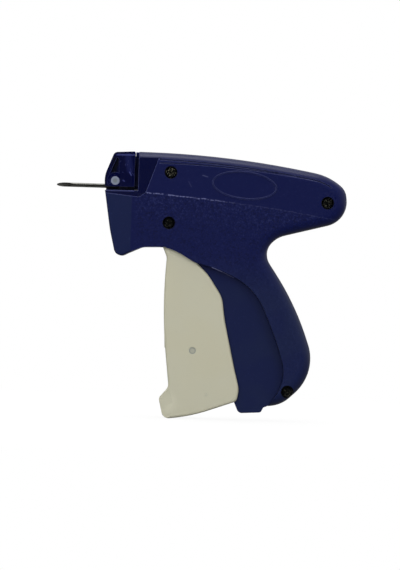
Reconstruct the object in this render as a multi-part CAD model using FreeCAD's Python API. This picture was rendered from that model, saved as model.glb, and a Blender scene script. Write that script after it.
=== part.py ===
import FreeCAD, Part
import math
import os

# Hand-held garment tag attacher: a pistol-grip body in two moulded halves,
# a trigger, a drive lever, a slide with its push rod, a feed wheel and a
# hollow needle under a hinged cover.  Millimetres and degrees.
# X runs backwards along the needle, Z is up, Y runs to the user's right.
# The origin is on the needle's axis, where the needle leaves the nose.

Vec = FreeCAD.Vector

# ---------------------------------------------------------------- fits
RUN = 0.05            # radial clearance of a pin that turns
SNUG = 0.02           # radial clearance of a pressed or screwed piece
GAP = 0.3             # gap between pieces that move past each other

# ---------------------------------------------------------------- case
CASE_HALF = 13.2      # half the body's width
WALL = 1.8            # moulded wall
EDGE_R = 6.0          # rounding of the outer long edges
NOSE_FRONT_HALF = 8.0  # half width of the nose at its front
TAPER_X = 14.0        # where the nose reaches full width
PANEL_STEP = 0.8      # depth of the lowered zone on the nose
NOSE_EDGE_R = 1.2     # rounding of the nose's upright front edges
NOSE_EDGE_END_X = 6.0  # the rounded edges lie in front of this
TOP_Z = 18.1          # top of the body over the needle axis
LEDGE_Z = -2.3        # ledge under the needle
LEDGE_T = 3.7         # thickness of that ledge
SPLIT_GAP = 0.02      # joint between the two case halves
GROOVE_DEPTH = 0.35   # upper of two lines along the top edge
GROOVE_W = 0.55
GROOVE_DROP = 3.5     # distance of that line below the top edge
GROOVE_SPREAD = 1.1   # degrees, by which the lower line runs away from it to the front
LOWER_DROP = 5.0      # drop of the lower line at its front, and its depth there
LOWER_DEPTH = 0.4
GROOVE_FRONT_X = 28.0
GROOVE_REAR_X = 118.0
GROOVE_END_Z = 1.0    # the line ends above this height

# ---------------------------------------------------------------- clip slot and feed
SLOT_FRONT_X = 15.4   # front of the slot for the tag filaments
SLOT_REAR_X = 17.4    # back of that slot
WEB_INSET = 0.1       # how far the web behind the cover lies inside the body's side and top
BAR_FRONT_X = 11.6    # front of the channel for the fasteners' cross bars
BAR_REAR_X = 21.6     # back of that channel
BAR_HALF = 1.2        # half width of that channel
BAR_FOOT_Z = -1.3     # foot of that channel inside the needle seat
RUNNER_X = 18.3       # front of the lower channel for the emptied strip
BLOCK_REAR_X = 23.7   # back of the wall behind the channel
LINER_T = 0.4         # sheet of the clip guide
GUIDE_DROP = 0.6      # how far its top lies below the body's

BLADE_T = 0.6
BLADE_END_Y = 9.8     # how far the blade reaches to the user's left
BLADE_BEVEL = 0.35

# ---------------------------------------------------------------- needle
NEEDLE_R = 1.1
NEEDLE_BORE_R = 0.86
SHANK_R = 1.35        # thicker back part of the needle, held in the seat and the hub
SHANK_X = 0.5         # where the thicker part starts
NEEDLE_LENGTH = 25.4  # from the nose to the tip
NEEDLE_SLOT = 0.6
NEEDLE_POINT = 9.0    # length of the slanting cut at the tip
HUB_FRONT_X = 7.4
HUB_REAR_X = 11.4
HUB_HALF = 2.8
HUB_TOP = 3.0
HUB_BOTTOM = -1.9

# ---------------------------------------------------------------- needle cover
COVER_WALL = 1.6
COVER_INSET = 1.8     # how far the cover's sides lie inside the nose's
COVER_REAR_X = 15.3
COVER_BOTTOM = -0.3
COVER_OPEN = 28.0     # degrees
PIN_X = 5.27          # hinge pin of the cover
PIN_Z = 2.7
PIN_R = 1.18
PIN_HEAD_R = 2.2
PIN_HEAD_T = 1.2
COVER_BOSS_R = 4.3
COVER_BOSS_Y = 9.0
COVER_BORE_WALL_R = 3.1  # tube around the pin inside the cover
COVER_NEEDLE_GAP = 0.9  # space beside the needle in the cover's front
POCKET_DEPTH = 1.1    # recess in front of the boss
SCOOP_DEPTH = 0.35    # finger scoop at the rear of the cover's side
SCOOP_TURN = 5.5      # degrees
SEAT_HALF = 4.6       # half width of the needle seat inside the cover
SEAT_INSET = 2.2      # gap from the cover's outside to the seat
SEAT_FRONT_R = 3.15   # reach of the seat in front of the hinge pin
SEAT_FOOT_X = 4.2     # front of the seat's foot on the ledge
REST_X = 0.4          # front of the rib under the needle
REST_HALF = 1.6       # half width of that rib

# ---------------------------------------------------------------- screws
SCREW_XZ = [(34.2, 7.75), (33.9, -18.5), (116.1, -5.7), (98.2, -104.5)]
RECESS_R = 3.2
RECESS_DEPTH = 3.2
CUP_WALL = 1.2        # wall around and under a screw recess
SCREW_R = 1.4
SCREW_FREE = 0.15     # radial clearance of its hole in the left half
SCREW_HEAD_R = 2.75
SCREW_HEAD_EDGE_R = 0.7
SCREW_HEAD_T = 1.7
SCREW_LENGTH = 21.0   # below the head
CROSS_W = 0.8
CROSS_DEPTH = 0.9
CROSS_REACH = 1.7     # half length of the cross
POST_R = 2.9          # screw posts inside the case

# ---------------------------------------------------------------- trigger
TRIGGER_HALF = 11.0
TRIGGER_WALL = 1.9
TRIGGER_FRONT_WALL = 2.2
TRIGGER_EDGE_R = 1.2
TRIGGER_TRAVEL = 14.0  # degrees
TRIGGER_SCREW = 1     # which case screw the trigger turns on
TRIGGER_PIVOT = SCREW_XZ[TRIGGER_SCREW]
TRIGGER_HUB_R = 6.8
TRIGGER_HUB_IN = 5.7
SLEEVE_R = 2.7
SLEEVE_BORE = 1.5
BOTTOM_WALL_X = 42.5  # the trigger's underside is closed up to here
OPEN_BACK_X = 39.5    # above the underside it is open behind this
GATE_XZ = (48.2, -84.6)
GATE_R = 1.95
GATE_DEPTH = 0.15
TOE_BEVEL = 1.4       # depth of the toe's sloping sides at its tip
RIB_IN = 3.2          # drive ribs inside the trigger
RIB_OUT = 5.2
RIB_WALL = 1.8        # wall around the drive pin
EAR_FREE = 0.9        # how far the pawl's ears stay inside the cheeks
FRONT_WALL_TOP = -26.5  # the trigger's front wall ends here, inside the body
DRIVE_PIN_R = 1.6

# ---------------------------------------------------------------- drive lever
LEVER_PIVOT = (60.0, -55.0)
LEVER_ARM = 56.0
LEVER_SWING = 48.0    # degrees, for the whole trigger travel
LEVER_HALF = 2.5
LEVER_HUB_R = 5.0
LEVER_PIN_R = 1.5
LEVER_PIN_SKIN = 0.8  # wall left outside the lever's pin
LEVER_BOSS_R = 3.6
LEVER_TIP_R = 3.2
FORK_PLAY = 0.25      # play of the drive pin in the fork
FORK_WALL = 1.9       # prong beside the pin
FORK_END = 1.0        # how far the prongs reach past the pin
TIP_PIN_R = 1.75
SPRING_ARM = 18.6     # height of the spring's stud above the pivot
STUD_R = 1.1

# ---------------------------------------------------------------- slide and push rod
SLIDE_HALF = 6.0
SLIDE_TOP = 4.5
SLIDE_BOTTOM = -7.2
SLIDE_NOSE = 8.3      # from the tip pin to the slide's front
SLIDE_TAIL = 7.7      # from the tip pin to the slide's back
SLIDE_NOSE_BOTTOM = -2.8
TONGUE_HALF = 1.6
TONGUE_OUT = 9.0
SLOT_PLAY = 0.4       # play of the tip pin in its slot
TIP_MARGIN = 0.8      # space in front of the lever's tip inside the slide
TIP_SWING = 2.4       # space behind it, for the lean of the lever
ROD_R = 0.7
ROD_RUN = 0.15        # radial clearance of the rod in its guides
ROD_SCREW_R = 1.0
ROD_SCREW_X = 2.2     # from the slide's front to its set screw
ROD_TIP_X = 22.2
ROD_DEPTH = 4.2       # length held in the slide
RAIL_T = 1.6
RAIL_START_X = 31.0
RAIL_TAIL = 1.0       # length of the rails behind the slide

# ---------------------------------------------------------------- feed wheel
WHEEL_XZ = (26.3, -9.0)
WHEEL_TEETH = 18
WHEEL_TIP_R = 5.4
WHEEL_ROOT_R = 4.3
TOOTH_LEAN = 2.0      # degrees, half the steep side of a tooth
WHEEL_HALF = 1.1
WHEEL_ROOM = 0.5      # space around the wheel's teeth
WHEEL_HUB_R = 2.4
WHEEL_HUB_HALF = 4.1
AXLE_R = 1.2
AXLE_BOSS_R = 3.0
PAWL_XZ = (27.0, -17.3)
PAWL_PIN_R = 0.9
PAWL_HUB_R = 1.9
PAWL_HALF = 1.0
PAWL_TIP_R = 0.4
PAWL_ELBOW_R = 0.9
PAWL_ELBOW_DROP = 3.6  # the elbow's height below the wheel's axle
PAWL_COIL_T = 0.7     # wall of the coil beside the pawl
EAR_R = 2.4
EAR_ROOT_R = 4.5

# ---------------------------------------------------------------- springs and stops
RETURN_POST = (103.0, -9.0)
RETURN_POST_R = 1.4
RETURN_Y = 4.7        # plane of the return spring
RETURN_POST_END = 1.2  # how far its post and stud reach past that plane
RETURN_COIL_R = 1.8
RETURN_WIRE_R = 0.35
RETURN_NECK = 1.2     # from its end loops to its coils
LEAF_T = 0.25         # leaf that holds the feed wheel
LEAF_HALF = 2.0
LEAF_REACH = 2.5      # how far it reaches past the wheel's axle
BUMPER_T = 3.0
BUMPER_BOTTOM = SLIDE_BOTTOM + 1.0

# ---------------------------------------------------------------- plain oval badge, left bare
BADGE_XZ = (72.6, 2.2)
BADGE_A = 16.9
BADGE_B = 7.3
BADGE_TILT = -4.8
BADGE_RIM = 0.7
BADGE_H = 0.3

FAR = 60.0            # reach of cutting tools beyond the part
OVER = 1.0            # how far a cutting tool runs past a face
ROOT = 0.5            # how far a rib or post reaches into the wall that carries it
FLUSH = 0.1           # how far a pin's end stays short of its hole's end
MIRROR_Y = Vec(0, 1, 0)


# ================================================================ worked-out places
def polar(centre, radius, degrees):
    """The (x, z) point at a radius and an angle from a centre."""
    a = math.radians(degrees)
    return (centre[0] + radius * math.cos(a), centre[1] + radius * math.sin(a))


PIVOT_GAP = math.dist(TRIGGER_PIVOT, LEVER_PIVOT)
PIVOT_ANGLE = math.degrees(math.atan2(LEVER_PIVOT[1] - TRIGGER_PIVOT[1],
                                      LEVER_PIVOT[0] - TRIGGER_PIVOT[0]))
HALF_PULL = math.radians(TRIGGER_TRAVEL / 2)
HALF_SWING = math.radians(LEVER_SWING / 2)
# The drive pin's radius about the trigger's pivot that makes both ends of the
# pull meet both ends of the lever's swing.
DRIVE_RADIUS = (PIVOT_GAP * math.tan(HALF_SWING)
                / (math.tan(HALF_SWING) * math.cos(HALF_PULL) - math.sin(HALF_PULL)))
DRIVE_XZ = polar(TRIGGER_PIVOT, DRIVE_RADIUS, PIVOT_ANGLE - TRIGGER_TRAVEL / 2)
DRIVE_REACH = math.dist(DRIVE_XZ, LEVER_PIVOT)
DRIVE_NEAR = DRIVE_RADIUS - PIVOT_GAP
TIP_XZ = polar(LEVER_PIVOT, LEVER_ARM, 90 - LEVER_SWING / 2)
STUD_XZ = polar(LEVER_PIVOT, SPRING_ARM, 90 - LEVER_SWING / 2)
SLIDE_TRAVEL = 2 * LEVER_ARM * math.sin(HALF_SWING)
SLIDE_FRONT = TIP_XZ[0] - SLIDE_NOSE
SLIDE_REAR = TIP_XZ[0] + SLIDE_TAIL
IN_HALF = CASE_HALF - WALL
THIN_HALF = TRIGGER_HALF - TRIGGER_WALL - GAP  # the grip's thin front fits between the trigger's cheeks
THIN_IN = THIN_HALF - WALL
RECESS_FLOOR = CASE_HALF - RECESS_DEPTH
CUP_R = RECESS_R + CUP_WALL
CUP_IN = RECESS_FLOOR - CUP_WALL
RAIL_END_X = SLIDE_REAR + RAIL_TAIL
RUNNER_FRONT = RUNNER_X - WALL
CHANNEL_FLOOR_Z = LEDGE_Z + GAP
TAPER = (CASE_HALF - NOSE_FRONT_HALF) / TAPER_X

# ================================================================ outlines, (x, z, corner radius)
TOP_EDGE = [(SLOT_REAR_X, TOP_Z, 0), (64.4, 17.8, 486), (116.7, 8.5, 29.8), (125.5, 1.3, 8.6),
            (127.0, -10.9, 12.6), (119.1, -16.7, 11.8)]
BACK_EDGE = [(90.7, -24.2, 14.2), (83.1, -32.4, 8.7), (101.4, -59.4, 144), (110.4, -85.4, 23.3),
             (108.2, -99.4, 24.1), (95.6, -111.2, 16.4), (70.0, -115.3, 0)]
NOSE_EDGE = [(20.6, -31.4, 7.9), (13.0, -34.9, 12.0), (6.9, -38.2, 4.0), (3.2, -22.6, 60),
             (0.0, LEDGE_Z, 0), (SLOT_REAR_X, LEDGE_Z, 0)]
CASE_OUTLINE = TOP_EDGE + BACK_EDGE + [(33.0, -60.0, 0), (33.0, -31.05, 0)] + NOSE_EDGE
# Region in front of the grip's step and under the arch, where the trigger moves.
FRONT_CUT = [(83.4, -120.8, 0), (97.8, -97.8, 21.7), (91.5, -77.7, 134), (79.9, -50.8, 34),
             (61.0, -42.0, 60), (47.4, -38.4, 4), (37.0, -32.2, 30), (31.2, -31.12, 0),
             (25.0, -31.6, 0), (25.0, -125.0, 0)]

THIN_FRONT = [(45.5, -35.5, 0), (50.0, -62.0, 30), (57.5, -86.0, 60), (62.0, -99.0, 10)]
FOOT_EDGE = [(70.1, -109.4, 6), (73.1, -116.4, 2.8), (84.7, -115.7, 1.6), (86.0, -113.1, 0.6)]
THIN_BACK = [(90.5, -111.3, 0), (98.6, -97.8, 21.7), (92.5, -77.7, 134), (80.9, -50.2, 34),
             (66.0, -41.6, 0), (56.0, -35.5, 0)]
THIN_OUTLINE = THIN_FRONT + FOOT_EDGE + THIN_BACK
HOLLOW_OUTLINE = [(30.0, -34.0, 0), (30.0, -96.5, 0), (63.2, -96.5, 2), (71.6, -108.9, 4),
                  (74.6, -114.6, 2), (83.6, -114.0, 1), (84.8, -111.2, 1), (89.0, -109.9, 3),
                  (99.5, -98.0, 14), (96.0, -78.0, 60), (84.0, -50.0, 30), (70.0, -38.0, 5),
                  (50.0, -34.0, 0)]
MOUTH_OUTLINE = [(29.4, -44.0, 0), (29.4, -28.0, 0), (36.0, -28.0, 0), (50.0, -35.0, 5),
                 (69.0, -41.6, 2), (71.2, -48.6, 0), (52.0, -46.0, 0)]
PANEL_OUTLINE = [(-4.0, -3.3, 0), (13.3, -5.1, 10), (18.2, -5.6, 2.5), (21.5, -2.9, 2), (27.9, 15.3, 0),
                 (27.9, 24.0, 0), (-4.0, 24.0, 0)]

TRIGGER_FRONT = [(33.4, -36.4, 5.5), (31.5, -63.0, 260), (35.9, -100.3, 63), (36.3, -104.1, 5.0),
                 (31.4, -109.9, 1.8), (33.9, -120.5, 3.8)]
TRIGGER_OUTLINE = [(40.5, -19.0, 0), (28.2, -24.0, 0)] + TRIGGER_FRONT + [
    (48.0, -118.9, 88), (71.9, -110.3, 2.8), (73.1, -104.2, 12), (70.1, -92.8, 60),
    (64.3, -67.5, 60), (62.9, -56.5, 16), (55.3, -45.0, 25), (48.6, -38.4, 0)]
# Corners of the two sloping faces on each side of the trigger's toe.
TOE_TOP = (36.2, -104.3)
TOE_BEND = (39.0, -111.8)
TOE_FOOT = (37.5, -120.5)
TOE_TIP = (31.8, -110.2)
TOE_EDGE = (33.6, -115.6)

COVER_OUTLINE = [(-0.1, COVER_BOTTOM, 1.2), (-0.5, 5.0, 14.3), (4.5, 17.6, 2.5),
                 (COVER_REAR_X, TOP_Z, 0.4), (COVER_REAR_X, COVER_BOTTOM, 0.4)]
COVER_POCKET = [(5.8, 14.9, 0.4), (6.9, 14.6, 0.4), (7.2, 4.0, 0), (2.0, 4.0, 0), (2.1, 6.0, 0.4)]
COVER_SCOOP = [(11.1, 24.0, 0), (11.1, 14.5, 6), (12.4, 7.4, 4), (16.5, 2.6, 0), (24.0, 2.6, 0),
               (24.0, 24.0, 0)]


# ================================================================ small tools
def corner(points, i):
    """Tangent points and middle of the rounding at vertex i of a closed outline."""
    here = Vec(points[i][0], 0, points[i][1])
    radius = points[i][2]
    if radius == 0:
        return here, None, here
    before = points[i - 1]
    after = points[(i + 1) % len(points)]
    a = (Vec(before[0], 0, before[1]) - here).normalize()
    b = (Vec(after[0], 0, after[1]) - here).normalize()
    half = a.getAngle(b) / 2
    reach = radius / math.tan(half)
    bisector = (a + b).normalize()
    middle = here + bisector * (radius / math.sin(half) - radius)
    return here + a * reach, middle, here + b * reach


def outline_wire(points):
    """Closed wire in the XZ plane through (x, z, radius) vertices, rounded by tangent arcs."""
    corners = [corner(points, i) for i in range(len(points))]
    edges = []
    for i, (start, middle, end) in enumerate(corners):
        if middle is not None:
            edges.append(Part.Arc(start, middle, end).toShape())
        nxt = corners[(i + 1) % len(corners)][0]
        if end.distanceToPoint(nxt) > 1e-6:
            edges.append(Part.LineSegment(end, nxt).toShape())
    return Part.Wire(edges)


def prism(points, y0, y1):
    """Outline pushed along Y from y0 to y1."""
    face = Part.Face(outline_wire(points))
    face.translate(Vec(0, y0, 0))
    return face.extrude(Vec(0, y1 - y0, 0))


def inner_prism(points, inset, y1):
    """The same outline moved inwards by inset, pushed from Y = 0 to y1."""
    face = Part.Face(outline_wire(points).makeOffset2D(-inset))
    return face.extrude(Vec(0, y1, 0))


def block(x0, x1, y0, y1, z0, z1):
    """Box between two corners."""
    return Part.makeBox(x1 - x0, y1 - y0, z1 - z0, Vec(x0, y0, z0))


def disc(xz, radius, y0, y1):
    """Cylinder along Y."""
    return Part.makeCylinder(radius, y1 - y0, Vec(xz[0], y0, xz[1]), Vec(0, 1, 0))


def bar_x(radius, x0, x1, y=0.0, z=0.0):
    """Cylinder along X."""
    return Part.makeCylinder(radius, x1 - x0, Vec(x0, y, z), Vec(1, 0, 0))


def plate(points, y0, y1):
    """Straight-sided plate through (x, z) points, pushed along Y."""
    return prism([(x, z, 0) for x, z in points], y0, y1)


def arm(a, ra, b, rb, y0, y1):
    """Rounded tapering arm from a circle at a to a circle at b."""
    angle = math.degrees(math.atan2(b[1] - a[1], b[0] - a[0]))
    lean = math.degrees(math.asin((ra - rb) / math.dist(a, b)))
    side = 90 - lean
    corners = [polar(a, ra, angle + side), polar(b, rb, angle + side),
               polar(b, rb, angle - side), polar(a, ra, angle - side)]
    body = plate(corners, y0, y1)
    return body.fuse([disc(a, ra, y0, y1), disc(b, rb, y0, y1)]).removeSplitter()


def both_sides(shape):
    """A piece made on the +Y side, joined to its mirror image."""
    return shape.fuse(shape.mirror(Vec(0, 0, 0), MIRROR_Y)).removeSplitter()


def plan_body(inset):
    """Everything inside the nose's tapering plan, moved inwards by inset, on the +Y side."""
    half = CASE_HALF - inset
    front = half - (TAPER_X + FAR / 4) * TAPER
    plan = [Vec(-FAR / 4, 0, 0), Vec(-FAR / 4, front, 0), Vec(TAPER_X, half, 0), Vec(3 * FAR, half, 0),
            Vec(3 * FAR, 0, 0), Vec(-FAR / 4, 0, 0)]
    body = Part.Face(Part.makePolygon(plan)).extrude(Vec(0, 0, 4 * FAR))
    body.translate(Vec(0, 0, -3 * FAR))
    return body


def rim_edges(shape, y, wanted):
    """Edges lying in the plane Y = y whose middle passes the test wanted(x, z)."""
    found = []
    for edge in shape.Edges:
        if abs(edge.BoundBox.YMin - y) > 1e-4 or abs(edge.BoundBox.YMax - y) > 1e-4:
            continue
        mid = edge.valueAt((edge.FirstParameter + edge.LastParameter) / 2)
        if wanted(mid.x, mid.z):
            found.append(edge)
    return found


def near_long_edge(inset):
    """Test for points that lie inset from the top, the tail, the back of the grip and the heel."""
    chain = outline_wire(TOP_EDGE + BACK_EDGE)
    last = chain.Edges[-1]

    def wanted(x, z):
        spot = Part.Vertex(x, 0, z)
        return spot.distToShape(chain)[0] < inset + 0.05 < spot.distToShape(last)[0]
    return wanted


# ================================================================ case halves
def thick_half():
    """Outer body of one half with its rounded long edges and tapering nose."""
    body = prism(CASE_OUTLINE, 0, CASE_HALF)
    body = body.makeFillet(EDGE_R, rim_edges(body, CASE_HALF, near_long_edge(0)))
    body = body.cut(prism(FRONT_CUT, -OVER, CASE_HALF + OVER))
    body = body.common(plan_body(0))
    panel = prism(PANEL_OUTLINE, 0, CASE_HALF + OVER).cut(plan_body(PANEL_STEP))
    body = body.cut(panel)
    return body.makeFillet(NOSE_EDGE_R, nose_edges(body))


def nose_edges(body):
    """Upright edges between the nose's front and its side, below the lowered zone."""
    found = []
    for edge in body.Edges:
        box = edge.BoundBox
        upright = box.ZMax < LEDGE_Z - OVER and box.ZLength > OVER
        if upright and box.XMax < NOSE_EDGE_END_X and box.YMin > NOSE_FRONT_HALF - OVER:
            found.append(edge)
    return found


def thick_hollow():
    """Space inside the body, clear of the walls."""
    space = inner_prism(CASE_OUTLINE, WALL, IN_HALF)
    space = space.makeFillet(EDGE_R - WALL, rim_edges(space, IN_HALF, near_long_edge(WALL)))
    front = Part.Face(outline_wire(FRONT_CUT).makeOffset2D(WALL))
    space = space.cut(front.extrude(Vec(0, CASE_HALF, 0)))
    lowered = prism(PANEL_OUTLINE, IN_HALF - PANEL_STEP, CASE_HALF)
    return space.common(plan_body(WALL)).cut(lowered)


def channel_block():
    """Solid wall around the fastener channel, kept out of the hollow."""
    upper = block(-FAR, BLOCK_REAR_X, 0, CASE_HALF, LEDGE_Z - LEDGE_T, TOP_Z)
    lower = block(RUNNER_FRONT, BLOCK_REAR_X, 0, BAR_HALF + WALL, -FAR, LEDGE_Z - LEDGE_T + ROOT)
    return upper.fuse(lower)


def channels():
    """Channels for the cross bars, the emptied strip, the rod and the wheel."""
    bars = block(SLOT_REAR_X - ROOT, BAR_REAR_X + LINER_T, -FAR, BAR_HALF + LINER_T, CHANNEL_FLOOR_Z, FAR)
    strip = block(RUNNER_X, BAR_REAR_X, -FAR, BAR_HALF, -FAR, TOP_Z)
    rod = bar_x(ROD_R + ROD_RUN, BAR_REAR_X - OVER, BLOCK_REAR_X + OVER)
    wheel = disc(WHEEL_XZ, WHEEL_TIP_R + WHEEL_ROOM, -FAR, WHEEL_HALF + GAP)
    return bars.fuse([strip, rod, wheel])


def screw_posts():
    """Cups and posts that take the case screws."""
    posts = []
    for i, xz in enumerate(SCREW_XZ):
        posts.append(disc(xz, CUP_R, CUP_IN, IN_HALF + ROOT))
        if i != TRIGGER_SCREW:
            posts.append(disc(xz, POST_R, 0, CUP_IN + ROOT))
    return posts


def slide_rails():
    """Two rails above and below each tongue of the slide."""
    z0 = TONGUE_HALF + GAP
    inner = SLIDE_HALF + GAP
    top = block(RAIL_START_X, RAIL_END_X, inner, IN_HALF + ROOT, z0, z0 + RAIL_T)
    low = block(RAIL_START_X, RAIL_END_X, inner, IN_HALF + ROOT, -z0 - RAIL_T, -z0)
    return [top, low]


def bearing_posts():
    """Posts for the feed wheel's axle and bosses for the lever's pin."""
    axle = disc(WHEEL_XZ, AXLE_BOSS_R, WHEEL_HUB_HALF + GAP, IN_HALF + ROOT)
    lever = disc(LEVER_PIVOT, LEVER_BOSS_R, LEVER_HALF + GAP, THIN_IN + ROOT)
    stop_x = SLIDE_REAR + BUMPER_T + GAP
    stop = block(stop_x, stop_x + WALL, 0, IN_HALF + ROOT, BUMPER_BOTTOM, SLIDE_TOP)
    return [axle, lever, stop]


def half_case():
    """One case half on the +Y side, with all that both halves share."""
    outer = thick_half()
    shell = outer.cut(thick_hollow().cut(channel_block()))
    shell = shell.cut(prism(MOUTH_OUTLINE, -OVER, IN_HALF))
    thin = prism(THIN_OUTLINE, 0, THIN_HALF)
    hollow = prism(HOLLOW_OUTLINE, -OVER, THIN_IN)
    lever_boss = bearing_posts()[1]
    whole = shell.fuse(thin).cut(hollow)
    inside = [p.common(outer) for p in screw_posts() + slide_rails() + bearing_posts()[::2]]
    whole = whole.fuse(inside + [lever_boss])
    holes = [channels(), disc(LEVER_PIVOT, LEVER_PIN_R + SNUG, -OVER, THIN_HALF - LEVER_PIN_SKIN),
             disc(WHEEL_XZ, AXLE_R + SNUG, 0, IN_HALF)]
    whole = whole.cut(holes)
    whole = whole.cut(block(-FAR, 3 * FAR, -FAR, SPLIT_GAP / 2, -3 * FAR, FAR))
    return whole.cut(top_grooves())


def groove_floor(drop, depth):
    """Y of a line's floor, by its distance below the top edge and its depth in the rounded side."""
    return CASE_HALF - EDGE_R + math.sqrt(EDGE_R ** 2 - (EDGE_R - drop) ** 2) - depth


def top_grooves():
    """Two thin lines along the top edge of the body, which meet at the tail."""
    outer = outline_wire(CASE_OUTLINE).makeOffset2D(-GROOVE_DROP)
    inner = outline_wire(CASE_OUTLINE).makeOffset2D(-GROOVE_DROP - GROOVE_W)
    ring = Part.Face(outer).cut(Part.Face(inner))
    band = ring.extrude(Vec(0, CASE_HALF + OVER, 0))
    lower = band.copy()
    lower.rotate(Vec(GROOVE_REAR_X, 0, GROOVE_END_Z), Vec(0, 1, 0), -GROOVE_SPREAD)
    lines = []
    for line, drop, depth in ((band, GROOVE_DROP, GROOVE_DEPTH), (lower, LOWER_DROP, LOWER_DEPTH)):
        keep = block(GROOVE_FRONT_X, GROOVE_REAR_X, groove_floor(drop, depth), CASE_HALF + OVER,
                     GROOVE_END_Z, TOP_Z)
        lines.append(line.common(keep))
    return lines


def badge():
    """Raised plain oval rim on the left half."""
    ring = []
    for grow in (0, -BADGE_RIM):
        oval = Part.Ellipse(Vec(0, 0, 0), BADGE_A + grow, BADGE_B + grow).toShape()
        ring.append(Part.Face(Part.Wire(oval)))
    rim = ring[0].cut(ring[1]).extrude(Vec(0, 0, BADGE_H + ROOT))
    rim.rotate(Vec(0, 0, 0), Vec(0, 0, 1), BADGE_TILT)
    rim.rotate(Vec(0, 0, 0), Vec(1, 0, 0), 90)
    rim.translate(Vec(BADGE_XZ[0], -CASE_HALF + ROOT, BADGE_XZ[1]))
    return rim


def left_case():
    """Left half: screw recesses, clip slot open to the side."""
    shell = half_case().mirror(Vec(0, 0, 0), MIRROR_Y)
    shell = shell.fuse(badge())
    holes = []
    for xz in SCREW_XZ:
        holes.append(disc(xz, RECESS_R, -CASE_HALF - OVER, -RECESS_FLOOR))
        holes.append(disc(xz, SCREW_R + SCREW_FREE, -CASE_HALF, OVER))
    return shell.cut(holes)


def right_case():
    """Right half: screw posts with blind holes, web that closes the clip slot."""
    reach = math.dist((COVER_REAR_X, COVER_BOTTOM), (PIN_X, PIN_Z))
    web_y = CASE_HALF - COVER_INSET - COVER_WALL - GAP
    back = SLOT_REAR_X + ROOT
    side = BAR_HALF + LINER_T
    foot = LEDGE_Z - ROOT
    inner_web = block(SLOT_FRONT_X, back, side, web_y, foot, TOP_Z - SEAT_INSET)
    outer_web = block(PIN_X + reach + GAP, back, side, CASE_HALF, foot, TOP_Z)
    upper_web = block(COVER_REAR_X + GAP, back, side, CASE_HALF, PIN_Z + COVER_BOSS_R, TOP_Z)
    room = block(0, BAR_REAR_X, 0, CASE_HALF - WEB_INSET, -FAR, TOP_Z - WEB_INSET)
    room = room.makeFillet(EDGE_R, rim_edges(room, CASE_HALF - WEB_INSET, lambda x, z: z > foot))
    web = inner_web.fuse([outer_web, upper_web]).common([room, plan_body(PANEL_STEP)])
    post = disc(RETURN_POST, RETURN_POST_R, RETURN_Y - RETURN_POST_END, IN_HALF + ROOT)
    shell = half_case().fuse([web, post])
    tip = SCREW_LENGTH - RECESS_FLOOR
    return shell.cut([disc(xz, SCREW_R + SNUG, 0, tip + GAP) for xz in SCREW_XZ])


def case_screws():
    """Four cross-head screws, one separate solid each."""
    screws = []
    for x, z in SCREW_XZ:
        head = disc((x, z), SCREW_HEAD_R, -RECESS_FLOOR - SCREW_HEAD_T, -RECESS_FLOOR)
        rim = rim_edges(head, -RECESS_FLOOR - SCREW_HEAD_T, lambda a, b: True)
        head = head.makeFillet(SCREW_HEAD_EDGE_R, rim)
        shank = disc((x, z), SCREW_R, -RECESS_FLOOR - FLUSH, SCREW_LENGTH - RECESS_FLOOR)
        y0 = -RECESS_FLOOR - SCREW_HEAD_T - OVER
        y1 = y0 + OVER + CROSS_DEPTH
        wide = CROSS_REACH
        thin = CROSS_W / 2
        cuts = [block(x - wide, x + wide, y0, y1, z - thin, z + thin),
                block(x - thin, x + thin, y0, y1, z - wide, z + wide)]
        screws.append(head.fuse(shank).removeSplitter().cut(cuts))
    return Part.makeCompound(screws)


# ================================================================ nose: seat, guide, needle, cover
def needle_seat():
    """Core under the cover that holds the needle, the hub and the hinge pin."""
    front = PIN_X - SEAT_FRONT_R
    outline = [(SEAT_FOOT_X, LEDGE_Z, 0), (SEAT_FOOT_X, PIN_Z - 2.9, 0), (front, PIN_Z - 2.1, 2.0),
               (front, 6.2, 3), (6.6, TOP_Z - SEAT_INSET, 2),
               (SLOT_FRONT_X, TOP_Z - SEAT_INSET, 0), (SLOT_FRONT_X, LEDGE_Z, 0)]
    body = prism(outline, -SEAT_HALF, SEAT_HALF)
    body = body.fuse(block(REST_X, SEAT_FOOT_X + ROOT, -REST_HALF, REST_HALF, LEDGE_Z, 0))
    filament = block(-FAR, FAR, -FAR, 0, -FAR, NEEDLE_SLOT / 2 + ROD_RUN)
    bars = block(BAR_FRONT_X, FAR, -BAR_HALF, BAR_HALF, BAR_FOOT_Z, FAR)
    needle = bar_x(SHANK_R + SNUG, -FAR, HUB_REAR_X)
    hub = block(HUB_FRONT_X - SNUG, HUB_REAR_X + SNUG, -FAR, HUB_HALF + SNUG,
                HUB_BOTTOM - SNUG, HUB_TOP + SNUG)
    rod = bar_x(ROD_R + ROD_RUN, HUB_REAR_X - OVER, BAR_FRONT_X + OVER)
    pin = disc((PIN_X, PIN_Z), PIN_R + SNUG, -FAR, FAR)
    return body.cut([filament, bars, needle, hub, rod, pin])


def clip_guide():
    """Sheet channel behind the slot that guides the strip of fasteners."""
    y = BAR_HALF + LINER_T - SNUG
    z0 = CHANNEL_FLOOR_Z + SNUG
    z1 = TOP_Z - GUIDE_DROP
    outer = block(SLOT_REAR_X + FLUSH, BAR_REAR_X + LINER_T - SNUG, -y, y, z0, z1)
    inner = block(0, BAR_REAR_X - SNUG, -BAR_HALF, BAR_HALF, z0 - OVER, z1 + OVER)
    rod = bar_x(ROD_R + ROD_RUN, BAR_REAR_X - OVER, BLOCK_REAR_X)
    return outer.cut([inner, rod])


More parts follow.
